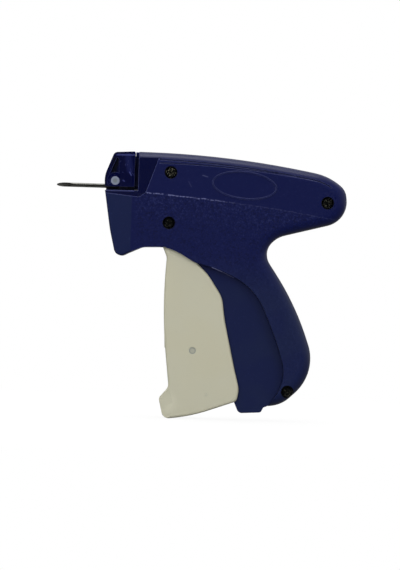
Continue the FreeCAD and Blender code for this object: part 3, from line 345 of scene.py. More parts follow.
@dataclass(frozen=True)
class ErodedABS(Finish):
    """ABS, injection moulded: a spark-eroded mould gives a fine pebbled skin, a smoother one above."""

    edge_mm: float = 0.38                              # radius of the moulded edges
    # the eroded skin; real pebbles are 0.15 mm across, drawn coarser so that they show
    line_mm: tuple[float, float, float] = (-1.93, -0.0465, -0.000468)  # parabola of its top line over X
    stray_mm: float = 0.45                             # how far the line strays from the parabola
    stray_per_mm: float = 0.35                         # how often
    zone_depth_mm: Edge = (-0.1, 0.25)                 # depth below the line
    zone_front_mm: Edge = (14.0, 18.0)                 # X
    zone_side_mm: Edge = (11.0, 12.6)                  # distance from the middle plane
    pebbles: Patches = Patches(0.62, 0.46, 0.64, 3.0)
    pebble_height_mm: float = 0.035
    # painted glints: pale specks on the eroded skin, fading with the depth below its line
    specks: Patches = Patches(0.8, 0.54, 0.68, 3.0, cover=0.24)
    specks_fade: Fade = (2.0, 20.0, 1.0, 0.3)          # over the depth
    # painted shade: darker pits on the eroded skin, stronger higher up
    pits: Patches = Patches(0.8, 0.47, 0.36, 3.0)
    pits_fade: Fade = (-60.0, -34.0, 0.15, 0.8)        # over the height
    rougher: float = 0.05                              # roughness that the eroded skin adds
    # painted highlight: a broken pale line along its top, where the raised edge of the eroded skin faces the
    # lamps above; the bump also gives it a slight real ridge
    line_edge_mm: Edge = (0.44, 0.1)
    line_start_mm: Edge = (20.9, 21.9)
    line_fade: Fade = (48.0, 72.0, 0.52, 0.08)         # along X
    dashes: Patches = Patches(1.1, 0.36, 0.58, 4.0)
    # the lowered faces round the needle cover, and the ledge under it: their skin is smoother, and painted
    # shade colours them darker, for the dark front that they reflect
    lowered_outer_mm: Edge = (12.8, 12.6)              # distance from the middle plane
    lowered_inner_mm: Edge = (10.8, 11.1)
    lowered_end_mm: Edge = (29.5, 28.5)                # X
    lowered_top_mm: Edge = (15.6, 15.0)                # Z
    border_slope: float = 0.107                        # fall of the lower border along X
    border_mm: Edge = (-3.6, -3.3)                     # height of that border
    ledge_border_mm: Edge = (-3.5, -3.2)
    ledge_end_mm: Edge = (18.2, 17.6)
    ledge_top_mm: Edge = (0.4, 0.1)
    smoother: float = 0.15                             # roughness that these faces lack
    # painted highlight along the ledge's lip, whose top edge faces the lamps above
    lip_height_mm: float = -2.4
    lip_edge_mm: Edge = (0.6, 0.2)
    lip_start_mm: Edge = (0.4, 1.2)
    lip_end_mm: Edge = (15.8, 15.2)
    lip_side_mm: Edge = (5.0, 6.0)
    lip_cover: float = 0.28
    # painted shade in the screw recesses, in grooves and crevices, and on the edges where the painted
    # highlights don't cover them
    recesses_mm: tuple[Point, ...] = ((34.2, 7.75), (33.9, -18.5), (116.1, -5.7), (98.2, -104.5))
    recess_edge_mm: Edge = (3.5, 3.25)
    recess_shade_cover: float = 0.9
    edge_shade_cover: float = 0.85
    crevice_mm: float = 0.7                            # reach of the shade in a groove
    crevice_fade: Fade = (0.85, 0.5, 0.0, 0.85)        # over the share of open sky
    # tone: the body is darker than the grip; painted light on the nose's facet, which faces the lamp at the
    # left front, keeps it paler than the body
    deep_height_mm: Edge = (-62.0, -30.0)
    deep_clouds: Patches = Patches(22.0, 0.42, 0.6, cover=0.3)
    facet_fade: Fade = (13.8, 14.8, 0.1, 1.0)          # along X
    faint: Patches = Patches(0.9, 0.62, 0.72, cover=0.12)
    # painted highlights on the body's edges, fainter behind the nose, none low on the grip and none along
    # the joint line
    highlight_height_mm: Edge = (-39.0, -36.0)
    highlight_fade: Fade = (28.0, 30.0, 1.0, 0.6)           # along X
    highlight_side_mm: Edge = (0.5, 1.0)
    pale_edge_cover: float = 0.75
    scratches: tuple[Mark, ...] = (
        Mark((57.1, -41.0), (62.3, -43.0), 0.3),
        Mark((62.3, -43.0), (68.5, -46.0), 0.25, cover=0.35),
        Mark((50.8, 6.7), (53.4, 6.0), 0.4, cover=0.16),
        Mark((43.6, 3.2), (45.0, 0.6), 0.4, cover=0.07))
    # pale colour of the painted glints on the specks, and of faint patches
    light: str = "#343d72"
    dark: str = "#010a3e"
    # dark colour of the painted shade in the skin's pits and on the lowered faces and the ledge
    pits_and_faces_shade: str = "#01052d"
    # colour of the scratches and of the painted highlight along the top line of the eroded skin
    scuff_and_highlight: str = "#767cae"
    # pale colour of the painted highlights on the edges and the ledge's lip
    painted_highlight: str = "#5f66a4"
    # dark colour of the painted shade in the screw recesses
    recess_shade: str = "#020308"                             # in the screw recesses
    # dark colour of the painted shade in the grooves, on the lower edges and along the grip's step
    crease_shade: str = "#030720"                            # in the grooves and along the grip's step

    def depth(self, tree: Tree, xyz: XYZ, place: Socket) -> Socket:
        """Depth in millimetres below the top line of the eroded skin.

        The line is a parabola over X, and a slow noise makes it waver.

        Args:
            tree: Node tree.
            xyz: Point in millimetres, as three values.
            place: The same point.
        Returns:
            The depth.
        """
        base, slope, bend = self.line_mm
        height = add_node(tree, "Math", {0: xyz[0], 1: bend, 2: slope}, operation="MULTIPLY_ADD").outputs[0]
        height = add_node(tree, "Math", {0: height, 1: xyz[0], 2: base}, operation="MULTIPLY_ADD").outputs[0]
        stray = add_node(tree, "TexNoise", {"Vector": place, "Scale": self.stray_per_mm, "Detail": 3.0})
        stray = add_node(tree, "Math", {0: stray.outputs[0], 1: 2 * self.stray_mm, 2: -self.stray_mm},
                         operation="MULTIPLY_ADD").outputs[0]
        height = add_node(tree, "Math", {0: height, 1: stray}, operation="ADD").outputs[0]
        return add_node(tree, "Math", {0: height, 1: xyz[2]}, operation="SUBTRACT").outputs[0]

    def lowered_faces(self, tree: Tree, xyz: XYZ, side: Socket) -> Socket:
        """Mask of the lowered faces and the ledge, which end below at a border that falls along X.

        Args:
            tree: Node tree.
            xyz: Point in millimetres, as three values.
            side: Its distance from the middle plane.
        Returns:
            1 on both.
        """
        border = add_node(tree, "Math", {0: xyz[0], 1: self.border_slope, 2: xyz[2]},
                          operation="MULTIPLY_ADD").outputs[0]
        faces = mask(tree, (side, *self.lowered_outer_mm), (side, *self.lowered_inner_mm),
                     (xyz[0], *self.lowered_end_mm), (border, *self.border_mm),
                     (xyz[2], *self.lowered_top_mm))
        ledge = mask(tree, (border, *self.ledge_border_mm), (xyz[0], *self.ledge_end_mm),
                     (xyz[2], *self.ledge_top_mm))
        return strongest(tree, faces, ledge)

    def edge_highlights(self, tree: Tree, xyz: XYZ, side: Socket, edges: Socket) -> Socket:
        """Mask of the painted highlights along the edges and along the ledge's lip.

        Args:
            tree: Node tree.
            xyz: Point in millimetres, as three values.
            side: Its distance from the middle plane.
            edges: Mask of all edges.
        Returns:
            Strength of the painted highlights.
        """
        painted_highlight = mask(tree, edges, (xyz[2], *self.highlight_height_mm), (xyz[0], *self.highlight_fade),
                    (side, *self.highlight_side_mm), self.pale_edge_cover)
        lip = mask(tree, band(tree, xyz[2], self.lip_height_mm, self.lip_edge_mm),
                   (xyz[0], *self.lip_start_mm), (xyz[0], *self.lip_end_mm), (side, *self.lip_side_mm),
                   self.lip_cover)
        return strongest(tree, painted_highlight, lip)

    def pattern(self, tree: Tree, shader: bpy.types.Node) -> None:
        """Pebbled skin below the line, tone and scratches, with painted light: glints on the specks, shade
        in the pits, a highlight on the broken line, highlights on the edges and the lip, and shade on the
        lowered faces, the lower edges, in grooves and in screw recesses.
        """
        place = in_millimetres(tree)
        xyz = tuple(add_node(tree, "SeparateXYZ", {0: place}).outputs)
        side = add_node(tree, "Math", {0: xyz[1]}, operation="ABSOLUTE").outputs[0]
        depth = self.depth(tree, xyz, place)
        zone = mask(tree, (depth, *self.zone_depth_mm), (xyz[0], *self.zone_front_mm),
                    (side, *self.zone_side_mm))
        line = mask(tree, band(tree, depth, 0.0, self.line_edge_mm), self.dashes.strength(tree, place),
                    (xyz[0], *self.line_start_mm), (xyz[0], *self.line_fade))
        sunk = self.lowered_faces(tree, xyz, side)
        rounded, edges = soft_edges(tree, self.edge_mm)
        deep = strongest(tree, mask(tree, (xyz[2], *self.deep_height_mm)),
                         self.deep_clouds.strength(tree, place))
        open_sky = add_node(tree, "AmbientOcclusion", {"Distance": self.crevice_mm * MM},
                            samples=SKY_SAMPLES)
        recess = strongest(tree, *(mask(tree, (spot(tree, xyz, centre), *self.recess_edge_mm))
                                   for centre in self.recesses_mm))
        colour = layered(
            tree, self.base,
            # painted light: the nose's facet kept paler, as lit from the left front
            (self.dark, mask(tree, deep, (xyz[0], *self.facet_fade))),
            # painted shade in the pits of the eroded skin
            (self.pits_and_faces_shade, mask(tree, self.pits.strength(tree, place), zone, (xyz[2], *self.pits_fade))),
            # painted glints on the specks
            (self.light, mask(tree, self.specks.strength(tree, place), zone, (depth, *self.specks_fade))),
            (self.light, self.faint.strength(tree, place)),
            # painted shade on the lowered faces and the ledge
            (self.pits_and_faces_shade, sunk),
            # painted shade on every edge; the painted highlights cover it above the grip
            (self.crease_shade, mask(tree, edges, self.edge_shade_cover)),
            # painted highlights on the edges and along the ledge's lip
            (self.painted_highlight, self.edge_highlights(tree, xyz, side, edges)),
            # painted shade in grooves and crevices, by ambient occlusion
            (self.crease_shade, mask(tree, (open_sky.outputs["AO"], *self.crevice_fade))),
            # painted shade in the screw recesses on the left side
            (self.recess_shade, mask(tree, recess, (xyz[1], *LEFT_SIDE_MM), self.recess_shade_cover)),
            # scratches, and the painted highlight along the top line of the eroded skin
            (self.scuff_and_highlight, strongest(tree, *(mark.strength(tree, xyz) for mark in self.scratches), line)))
        rough = add_node(tree, "Math", {0: zone, 1: self.rougher, 2: self.roughness},
                         operation="MULTIPLY_ADD").outputs[0]
        rough = add_node(tree, "Math", {0: sunk, 1: -self.smoother, 2: rough},
                         operation="MULTIPLY_ADD").outputs[0]
        pebbles = mask(tree, self.pebbles.strength(tree, place), zone)
        height = add_node(tree, "Math", {0: pebbles, 1: line}, operation="ADD").outputs[0]
        self.lay(tree, shader, colour, height, self.pebble_height_mm, rounded, rough)


@dataclass(frozen=True)
class PolishedABS(Finish):
    """ABS from a polished mould: deep colour, sharp reflections, a slight moulding wave and fine scuffs."""

    edge_mm: float = 0.35
    wave_mm: float = 7.0
    wave_height_mm: float = 0.25
    scuffs: Patches = Patches(1.6, 0.6, 0.72, 3.0)
    scuff_cover: float = 0.28
    scuff_rougher: float = 0.25
    # painted reflection: a pale sheen down the side face
    sheen: Mark = Mark((11.8, 15.0), (12.8, 8.6), 2.6, cover=0.25)
    pocket_shade: Mark = Mark((5.5, 13.6), (4.4, 8.0), 2.3)  # painted shade in the pocket at the front
    # painted glints on the side face
    glints: tuple[Mark, ...] = (Mark((12.7, 7.2), (13.6, 5.6), 0.45, cover=0.5),
                                Mark((9.4, 2.9), (10.0, 2.5), 0.5, cover=0.4))
    top_mm: float = 16.2                               # height of the painted highlight along the top edge
    top_edge_mm: Edge = (0.6, 0.15)
    top_start_mm: Edge = (5.0, 6.5)                    # X
    top_cover: float = 0.42
    # painted highlights on the edges
    pale_edge_cover: float = 0.5
    # pale colour of the painted highlights and glints
    painted_highlight: str = "#4a5090"
    # colour of the scuffs and of the painted sheen
    scuff_and_highlight: str = "#232a66"
    # dark colour of the painted shade in the pocket
    dull_and_shade: str = "#020412"

    def pattern(self, tree: Tree, shader: bpy.types.Node) -> None:
        """Wavy skin and faint scuffs, with painted light: highlights on the edges and along the top, glints,
        a sheen, and shade in the pocket at the front.
        """
        place = in_millimetres(tree)
        xyz = tuple(add_node(tree, "SeparateXYZ", {0: place}).outputs)
        rounded, edges = soft_edges(tree, self.edge_mm)
        scuffs = self.scuffs.strength(tree, place)
        top = mask(tree, band(tree, xyz[2], self.top_mm, self.top_edge_mm),
                   (xyz[0], *self.top_start_mm), self.top_cover)
        glints = (glint.strength(tree, xyz) for glint in self.glints)
        colour = layered(
            tree, self.base,
            (self.scuff_and_highlight, mask(tree, scuffs, self.scuff_cover)),
            # painted reflection: the sheen
            (self.scuff_and_highlight, self.sheen.strength(tree, xyz)),
            # painted shade in the pocket at the front
            (self.dull_and_shade, self.pocket_shade.strength(tree, xyz)),
            # painted highlights on the edges and the top line, and painted glints
            (self.painted_highlight, strongest(tree, mask(tree, edges, self.pale_edge_cover), top, *glints)))
        rough = mask(tree, (scuffs, 0.0, 1.0, self.roughness, self.roughness + self.scuff_rougher))
        wave = add_node(tree, "TexNoise", {"Vector": place, "Scale": 1 / self.wave_mm, "Detail": 0.0})
        self.lay(tree, shader, colour, wave.outputs[0], self.wave_height_mm, rounded, rough)


@dataclass(frozen=True)
class SatinABS(Finish):
    """Ivory ABS, injection moulded: an even satin skin with faint flow marks and handling stains."""

    edge_mm: float = 0.35
    left_mm: Edge = (-10.0, -10.6)                     # Y of the left face
    gate_mm: Point = (48.2, -84.6)                     # round mark of the mould's gate
    gate_edge_mm: Edge = (1.95, 1.7)
    gate_fade: Fade = (0.6, 1.5, 0.55, 1.0)            # from its middle outwards
    smudge_mm: Point = (56.0, -107.3)
    smudge_edge_mm: Edge = (1.6, 0.4)
    smudge_grain: Patches = Patches(0.6, 0.4, 0.6, cover=0.35)
    toe_highlight_mm: Point = (36.0, -112.0)                  # painted highlight on the toe's facet, which faces the lamp at the left front
    toe_highlight_fade: Fade = (7.0, 2.0, 0.0, 0.45)
    pale_edge_cover: float = 0.5
    yellowing: Patches = Patches(26.0, 0.4, 0.7, cover=0.4)
    specks: Patches = Patches(0.8, 0.68, 0.76, cover=0.25)
    grain_mm: float = 0.5
    grain_height_mm: float = 0.012
    yellowed: str = "#b5b197"
    shade: str = "#8c8f85"
    # colour of the worn edges and of the painted highlight on the toe
    edge_wear_and_highlight: str = "#c6c4b0"

    def pattern(self, tree: Tree, shader: bpy.types.Node) -> None:
        """Flow marks, pale edges, the gate's ring, a smudge, a painted highlight on the toe and a fine
        grain.
        """
        place = in_millimetres(tree)
        xyz = tuple(add_node(tree, "SeparateXYZ", {0: place}).outputs)
        rounded, edges = soft_edges(tree, self.edge_mm)
        left = (xyz[1], *self.left_mm)
        gate = spot(tree, xyz, self.gate_mm)
        smudge = spot(tree, xyz, self.smudge_mm)
        colour = layered(
            tree, self.base,
            (self.yellowed, self.yellowing.strength(tree, place)),
            (self.edge_wear_and_highlight, mask(tree, edges, self.pale_edge_cover)),
            (self.shade, mask(tree, (gate, *self.gate_edge_mm), (gate, *self.gate_fade), left)),
            (self.shade, mask(tree, (smudge, *self.smudge_edge_mm),
                              self.smudge_grain.strength(tree, place), left)),
            # painted highlight on the toe's facet
            (self.edge_wear_and_highlight, mask(tree, (spot(tree, xyz, self.toe_highlight_mm), *self.toe_highlight_fade))),
            (self.shade, self.specks.strength(tree, place)))
        grain = add_node(tree, "TexNoise", {"Vector": place, "Scale": 1 / self.grain_mm, "Detail": 3.0})
        self.lay(tree, shader, colour, grain.outputs[0], self.grain_height_mm, rounded)


@dataclass(frozen=True)
class MouldedPlastic(Finish):
    """Plain moulded plastic for the inner pieces: faint clouds and a fine grain."""

    cloud: str = "#000000"
    clouds: Patches = Patches(6.0, 0.4, 0.7, cover=0.5)
    edge_mm: float = 0.2
    grain_mm: float = 0.4
    grain_height_mm: float = 0.01

    def pattern(self, tree: Tree, shader: bpy.types.Node) -> None:
        """Clouded colour and grain."""
        place = in_millimetres(tree)
        rounded = soft_edges(tree, self.edge_mm)[0]
        colour = layered(tree, self.base, (self.cloud, self.clouds.strength(tree, place)))
        grain = add_node(tree, "TexNoise", {"Vector": place, "Scale": 1 / self.grain_mm, "Detail": 3.0})
        self.lay(tree, shader, colour, grain.outputs[0], self.grain_height_mm, rounded)


@dataclass(frozen=True)
class GroundSteel(Finish):
    """Steel, ground and drawn: fine lines along X and small dull patches."""

    stretch: tuple[float, float, float] = (0.06, 1.0, 1.0)  # the lines run along X
    lines: Patches = Patches(0.16, 0.35, 0.65, 3.0)
    line_height_mm: float = 0.004
    patches: Patches = Patches(2.2, 0.5, 0.7, 3.0)
    dull_and_shade: str = "#6f706c"
    dulled: float = 0.6                                # cover of the dull patches
    uneven: float = 0.18                               # roughness that the lines add

    def pattern(self, tree: Tree, shader: bpy.types.Node) -> None:
        """Grinding lines in roughness and height, and dull patches."""
        place = in_millimetres(tree)
        drawn = add_node(tree, "Mapping", {"Vector": place, "Scale": self.stretch}).outputs[0]
        lines = self.lines.strength(tree, drawn)
        dull_and_shade = mask(tree, self.patches.strength(tree, place), self.dulled)
        colour = layered(tree, self.base, (self.dull_and_shade, dull_and_shade))
        rough = mask(tree, (lines, 0.0, 1.0, self.roughness, self.roughness + self.uneven))
        self.lay(tree, shader, colour, lines, self.line_height_mm, rough=rough)


@dataclass(frozen=True)
class BlackOxide(Finish):
    """Steel screw with a black oxide coat: oily black, with olive-grey painted glints on its edges and in
    patches where a driver wore the coat.
    """

    # olive-grey of the painted glints
    bare_and_glint: str = "#6f6e5e"
    edge_mm: float = 0.15
    patches: Patches = Patches(0.8, 0.55, 0.65, 3.0)
    pale_edge_cover: float = 0.3                            # on the edges
    upper_fade: Fade = (-2.0, 4.0, 0.3, 0.8)           # painted glints stronger on the upper screws, over Z
    coat_mm: float = 0.02

    def pattern(self, tree: Tree, shader: bpy.types.Node) -> None:
        """Olive-grey painted glints in worn patches and on the edges."""
        place = in_millimetres(tree)
        rounded, edges = soft_edges(tree, self.edge_mm)
        # painted glints in patches and on the edges
        painted_highlight = strongest(tree, mask(tree, edges, self.pale_edge_cover), self.patches.strength(tree, place))
        height = add_node(tree, "SeparateXYZ", {0: place}).outputs[2]
        colour = layered(tree, self.base, (self.bare_and_glint, mask(tree, painted_highlight, (height, *self.upper_fade))))
        self.lay(tree, shader, colour, painted_highlight, self.coat_mm, rounded)


@dataclass(frozen=True)
class TurnedPin(Finish):
    """Grey acetal pin, turned: a slightly darker centre and faint turning rings about its axis."""

    axis_mm: Point = (5.27, 2.7)
    core: str = "#646c73"
    core_mm: Edge = (1.7, 0.7)
    ring_mm: float = 0.28
    ring_height_mm: float = 0.004

    def pattern(self, tree: Tree, shader: bpy.types.Node) -> None:
        """Darker centre and turning rings, by the distance from the pin's axis."""
        xyz = tuple(add_node(tree, "SeparateXYZ", {0: in_millimetres(tree)}).outputs)
        out = spot(tree, xyz, self.axis_mm)
        colour = layered(tree, self.base, (self.core, mask(tree, (out, *self.core_mm))))
        wave = add_node(tree, "Math", {0: mask(tree, out, math.tau / self.ring_mm)}, operation="SINE")
        self.lay(tree, shader, colour, wave.outputs[0], self.ring_height_mm)


NAVY_SHELL = ErodedABS("navy_eroded_abs", "navy_shell", "#0d183d", 0.38, ior=1.33)
NAVY_COVER = PolishedABS("navy_polished_abs", "navy_cover", "#00032b", 0.16, ior=1.31)
IVORY = SatinABS("ivory_satin_abs", "ivory_trigger", "#b5b39e", 0.42, ior=1.53)
ACETAL = MouldedPlastic("natural_acetal", "acetal", "#dddbd0", 0.35, ior=1.48, cloud="#cfccbd")
SEAT = MouldedPlastic("dark_glass_filled_nylon", "seat_plastic", "#10142c", 0.5, ior=1.52, cloud="#1a1f3c")
STEEL = GroundSteel("ground_steel", "bright_steel", "#c4c4c0", 0.22, 1.0)
NEEDLE_STEEL = GroundSteel("drawn_stainless_steel", "bright_steel", "#868681", 0.52, 1.0,
                           dulled=0.3, uneven=0.06)
BLACKED = BlackOxide("black_oxide_steel", "black_screw", "#040507", 0.45, ior=1.2)
GREY_PIN = TurnedPin("turned_grey_acetal", "grey_pin", "#747b8f", 0.38, ior=1.48)
RUBBER = MouldedPlastic("nitrile_rubber", "rubber", "#1b1b1b", 0.8, ior=1.52, cloud="#262624")


# ---------------------------------------------------------------- meshes
def swept_tube(path: np.ndarray, across: np.ndarray, radius: float,
               sides: int = 8) -> tuple[np.ndarray, list]:
    """Round wire along a path, closed by a cone of faces at each end.

    Point (i, j) lies at path[i] + radius * (cos a * N + sin a * B), where a is
    j turns of 1 / sides, N is the given direction across the path and B is
    the path's tangent crossed with N.

    Args:
        path: Points of the path, one row each.
        across: Unit vector across the path at each point.
        radius: Radius of the wire.
        sides: Faces around the wire.
    Returns:
        Vertices and faces.
    """
    tangent = np.gradient(path, axis=0)
    tangent /= np.linalg.norm(tangent, axis=1, keepdims=True)
    other = np.cross(tangent, across)
    turn = np.arange(sides) * math.tau / sides
    ring = (np.cos(turn)[None, :, None] * across[:, None, :]
            + np.sin(turn)[None, :, None] * other[:, None, :])
    verts = np.concatenate([(path[:, None, :] + radius * ring).reshape(-1, 3), path[[0, -1]]])
    count = len(path)
    i, j = np.meshgrid(np.arange(count - 1), np.arange(sides), indexing="ij")
    k = (j + 1) % sides
    quads = np.stack([i * sides + j, i * sides + k, (i + 1) * sides + k, (i + 1) * sides + j], axis=-1)
    j = np.arange(sides)
    k = (j + 1) % sides
    last = (count - 1) * sides
    first_cap = np.stack([np.full(sides, count * sides), k, j], axis=-1)
    last_cap = np.stack([np.full(sides, count * sides + 1), last + j, last + k], axis=-1)
    return verts, quads.reshape(-1, 4).tolist() + first_cap.tolist() + last_cap.tolist()


def new_piece(name: str, parts: list[tuple[np.ndarray, list]], finish: Finish) -> bpy.types.Object:
    """One object from several closed surfaces.

    Args:
        name: Name of the piece.
        parts: Vertices and faces of each surface.
        finish: Finish of the piece.
    Returns:
        The piece, at the origin, smooth shaded.
    """
    verts, faces, start = [], [], 0
    for points, polygons in parts:
        verts.append(points)
        faces.extend([[n + start for n in polygon] for polygon in polygons])
        start += len(points)
    mesh = bpy.data.meshes.new(name)
    mesh.from_pydata(np.concatenate(verts).tolist(), [], faces)
    mesh.polygons.foreach_set("use_smooth", np.ones(len(mesh.polygons), bool))
    mesh.update()
    piece = bpy.data.objects.new(name, mesh)
    bpy.context.scene.collection.objects.link(piece)
    piece.data.materials.append(finish.material())
    log.info("made %s, %d faces", name, len(mesh.polygons))
    return piece


# ---------------------------------------------------------------- sub-assemblies
@dataclass
class SubAssembly:
    """A group of frame nodes that are dressed together.

    Attributes:
        finishes: Finish of each node, by the node's name.
    """

    finishes: dict[str, Finish] = field(default_factory=dict)

    def build(self) -> None:
        """Give each node its finish."""
        for name, finish in self.finishes.items():
            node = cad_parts[name]
            node.data.materials.clear()
            node.data.materials.append(finish.material())
            log.info("dressed %s in %s", name, finish.name)


@dataclass
class CaseHalves(SubAssembly):
    """The two moulded halves of the body and grip."""

    finishes: dict[str, Finish] = field(default_factory=lambda: {
        "left_case": NAVY_SHELL, "right_case": NAVY_SHELL})


@dataclass
class NeedleUnit(SubAssembly):
    """Needle, its seat and hub, the clip guide and blade, the cover and its pin."""

    finishes: dict[str, Finish] = field(default_factory=lambda: {
        "needle_tube": NEEDLE_STEEL, "needle_hub": SEAT, "needle_seat": SEAT, "clip_guide": STEEL,
        "cutter_blade": STEEL, "needle_cover": NAVY_COVER, "cover_pin": GREY_PIN})


@dataclass
class TriggerUnit(SubAssembly):
    """Trigger, the sleeve it turns on and its drive pin."""

    finishes: dict[str, Finish] = field(default_factory=lambda: {
        "trigger": IVORY, "trigger_sleeve": STEEL, "drive_pin": STEEL})


@dataclass
class DriveTrain(SubAssembly):
    """Lever, slide and push rod, with their pins, set screw and bumper."""

    finishes: dict[str, Finish] = field(default_factory=lambda: {
        "drive_lever": ACETAL, "lever_pin": STEEL, "tip_pin": STEEL, "slide": ACETAL,
        "push_rod": STEEL, "rod_screw": STEEL, "slide_bumper": RUBBER})


@dataclass
class FeedUnit(SubAssembly):
    """Ratchet wheel, its axle, the pawl and its pin, and the detent leaf."""

    finishes: dict[str, Finish] = field(default_factory=lambda: {
        "feed_wheel": ACETAL, "feed_axle": STEEL, "feed_pawl": STEEL, "pawl_pin": STEEL,
        "detent_spring": STEEL})


@dataclass
class Fastenings(SubAssembly):
    """The four case screws."""

    finishes: dict[str, Finish] = field(default_factory=lambda: {"case_screws": BLACKED})


@dataclass
class ReturnSpring:
    """Extension spring between the lever's stud and the case's post, wound from wire.

    The frame node is a sleeve with a closed loop at each end; its box gives
    both loops' middles.
    """

    wire: float = 0.35 * MM       # radius of the wire
    loop: float = 1.8 * MM        # radius of the hook round its pin
    hook_turn: float = 320.0      # degrees that the hook goes round its pin
    hook_points: int = 40
    bend_points: int = 9
    neck: float = 1.2 * MM        # from the hook to the coil
    coil: float = 1.45 * MM       # radius of the wire's middle
    pitch: float = 0.72 * MM
    steps_per_turn: int = 18

    def hook(self, pin: np.ndarray, along: np.ndarray, side: np.ndarray) -> tuple[np.ndarray, list]:
        """Hook from round the pin to the coil.

        An arc about the pin ends beside the coil's axis, and a quarter bend
        turns it along that axis.

        Args:
            pin: Middle of the pin.
            along: Unit vector from the pin to the coil.
            side: Unit vector across it, in the hook's plane.
        Returns:
            Vertices and faces.
        """
        a = np.radians(np.linspace(-self.hook_turn, 0, self.hook_points))[:, None]
        arc = pin + self.loop * (np.cos(a) * along + np.sin(a) * side)
        b = np.radians(np.linspace(10, 90, self.bend_points))[:, None]
        bend = pin + along * (self.loop + self.neck * (1 - np.cos(b))) + side * self.neck * np.sin(b)
        path = np.concatenate([arc, bend])
        across = np.tile(np.cross(along, side), (len(path), 1))
        return swept_tube(path, across, self.wire)

    def helix(self, start: np.ndarray, end: np.ndarray, side: np.ndarray,
              up: np.ndarray) -> tuple[np.ndarray, list]:
        """Close-wound coil: a circle of the coil's radius carried evenly from start to end.

        Args:
            start: First end of the coil's axis.
            end: Other end.
            side: Unit vector across the axis, where the wire starts.
            up: Unit vector across both.
        Returns:
            Vertices and faces.
        """
        turns = float(np.linalg.norm(end - start)) / self.pitch
        t = np.linspace(0, 1, int(turns * self.steps_per_turn))[:, None]
        out = np.cos(t * turns * math.tau) * side + np.sin(t * turns * math.tau) * up
        return swept_tube(start + t * (end - start) + self.coil * out, out, self.wire)

    def build(self) -> None:
        """Wind the spring between the lever's stud and the case's post."""
        low, high = (np.array(corner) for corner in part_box("return_spring"))
        reach = self.loop + self.wire
        middle = (low[1] + high[1]) / 2
        stud = np.array([low[0] + reach, middle, low[2] + reach])
        post = np.array([high[0] - reach, middle, high[2] - reach])
        along = (post - stud) / np.linalg.norm(post - stud)
        up = np.array([0.0, 1.0, 0.0])
        side = np.cross(up, along)
        inset = along * (self.loop + self.neck)
        parts = [self.hook(stud, along, side), self.hook(post, -along, -side),
                 self.helix(stud + inset, post - inset, side, up)]
        spring = new_piece("return_coil", parts, STEEL)
        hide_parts("return_spring")
        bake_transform(spring)


@dataclass
class PawlSpring:
    """Torsion spring on the pawl's hub, wound from wire, with a straight leg at each end."""

    wire: float = 0.32 * MM       # radius of the wire
    turns: float = 5.25
    leg: float = 3.0 * MM
    leg_points: int = 8
    steps_per_turn: int = 28
    first_angle: float = 200.0    # degrees, where the leg beside the pawl leaves the coil

    def build(self) -> None:
        """Wind the spring about its pin.

        The wire's middle is a circle carried along Y; each leg goes on
        straight along the wire's direction at the coil's end.
        """
        low, high = (np.array(corner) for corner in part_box("pawl_spring"))
        centre = (low + high) / 2
        radius = (high[0] - low[0]) / 2 - self.wire
        t = np.linspace(0, 1, int(self.turns * self.steps_per_turn))
        a = math.radians(self.first_angle) + t * self.turns * math.tau
        out = np.stack([np.cos(a), np.zeros_like(a), np.sin(a)], axis=1)
        y = low[1] + self.wire + t * (high[1] - low[1] - 2 * self.wire)
        coil = np.stack([centre[0] + radius * out[:, 0], y, centre[2] + radius * out[:, 2]], axis=1)
        steps = np.linspace(self.leg, self.leg / self.leg_points, self.leg_points)[:, None]
        first = np.array([math.sin(a[0]), 0.0, -math.cos(a[0])])
        last = np.array([-math.sin(a[-1]), 0.0, math.cos(a[-1])])
        path = np.concatenate([coil[0] + steps * first, coil, coil[-1] + steps[::-1] * last])
        across = np.concatenate([np.tile(out[0], (self.leg_points, 1)), out,
                                 np.tile(out[-1], (self.leg_points, 1))])
        spring = new_piece("pawl_coil", [swept_tube(path, across, self.wire)], STEEL)
        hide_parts("pawl_spring")
        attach(spring, Rides.TRIGGER.value)


# ---------------------------------------------------------------- studio
@dataclass(frozen=True)
class Lamp:
    """A soft square lamp that faces the tool.

    Attributes:
        name: Name of the lamp.
        azimuth: Degrees from the front, positive towards +X.
        elevation: Degrees above the horizon.
        power: Watts.
        shows: Whether reflections show the lamp.
        size: Side of the square.
        distance: Distance from the tool.
    """

    name: str
    azimuth: float
    elevation: float
    power: float
    shows: bool = False
    size: float = 0.7
    distance: float = 1.2

    def hang(self, middle: Vector) -> None:
        """Place the lamp and turn it to the tool."""
        a, e = math.radians(self.azimuth), math.radians(self.elevation)
        towards = Vector((math.sin(a) * math.cos(e), -math.cos(a) * math.cos(e), math.sin(e)))
        light = bpy.data.lights.new(self.name, "AREA")
        light.energy, light.size = self.power, self.size
        lamp = bpy.data.objects.new(self.name, light)
        lamp.matrix_world = (Matrix.Translation(middle + towards * self.distance)
                             @ towards.to_track_quat("Z", "Y").to_matrix().to_4x4())
        lamp.visible_camera, lamp.visible_glossy = False, self.shows
        bpy.context.scene.collection.objects.link(lamp)


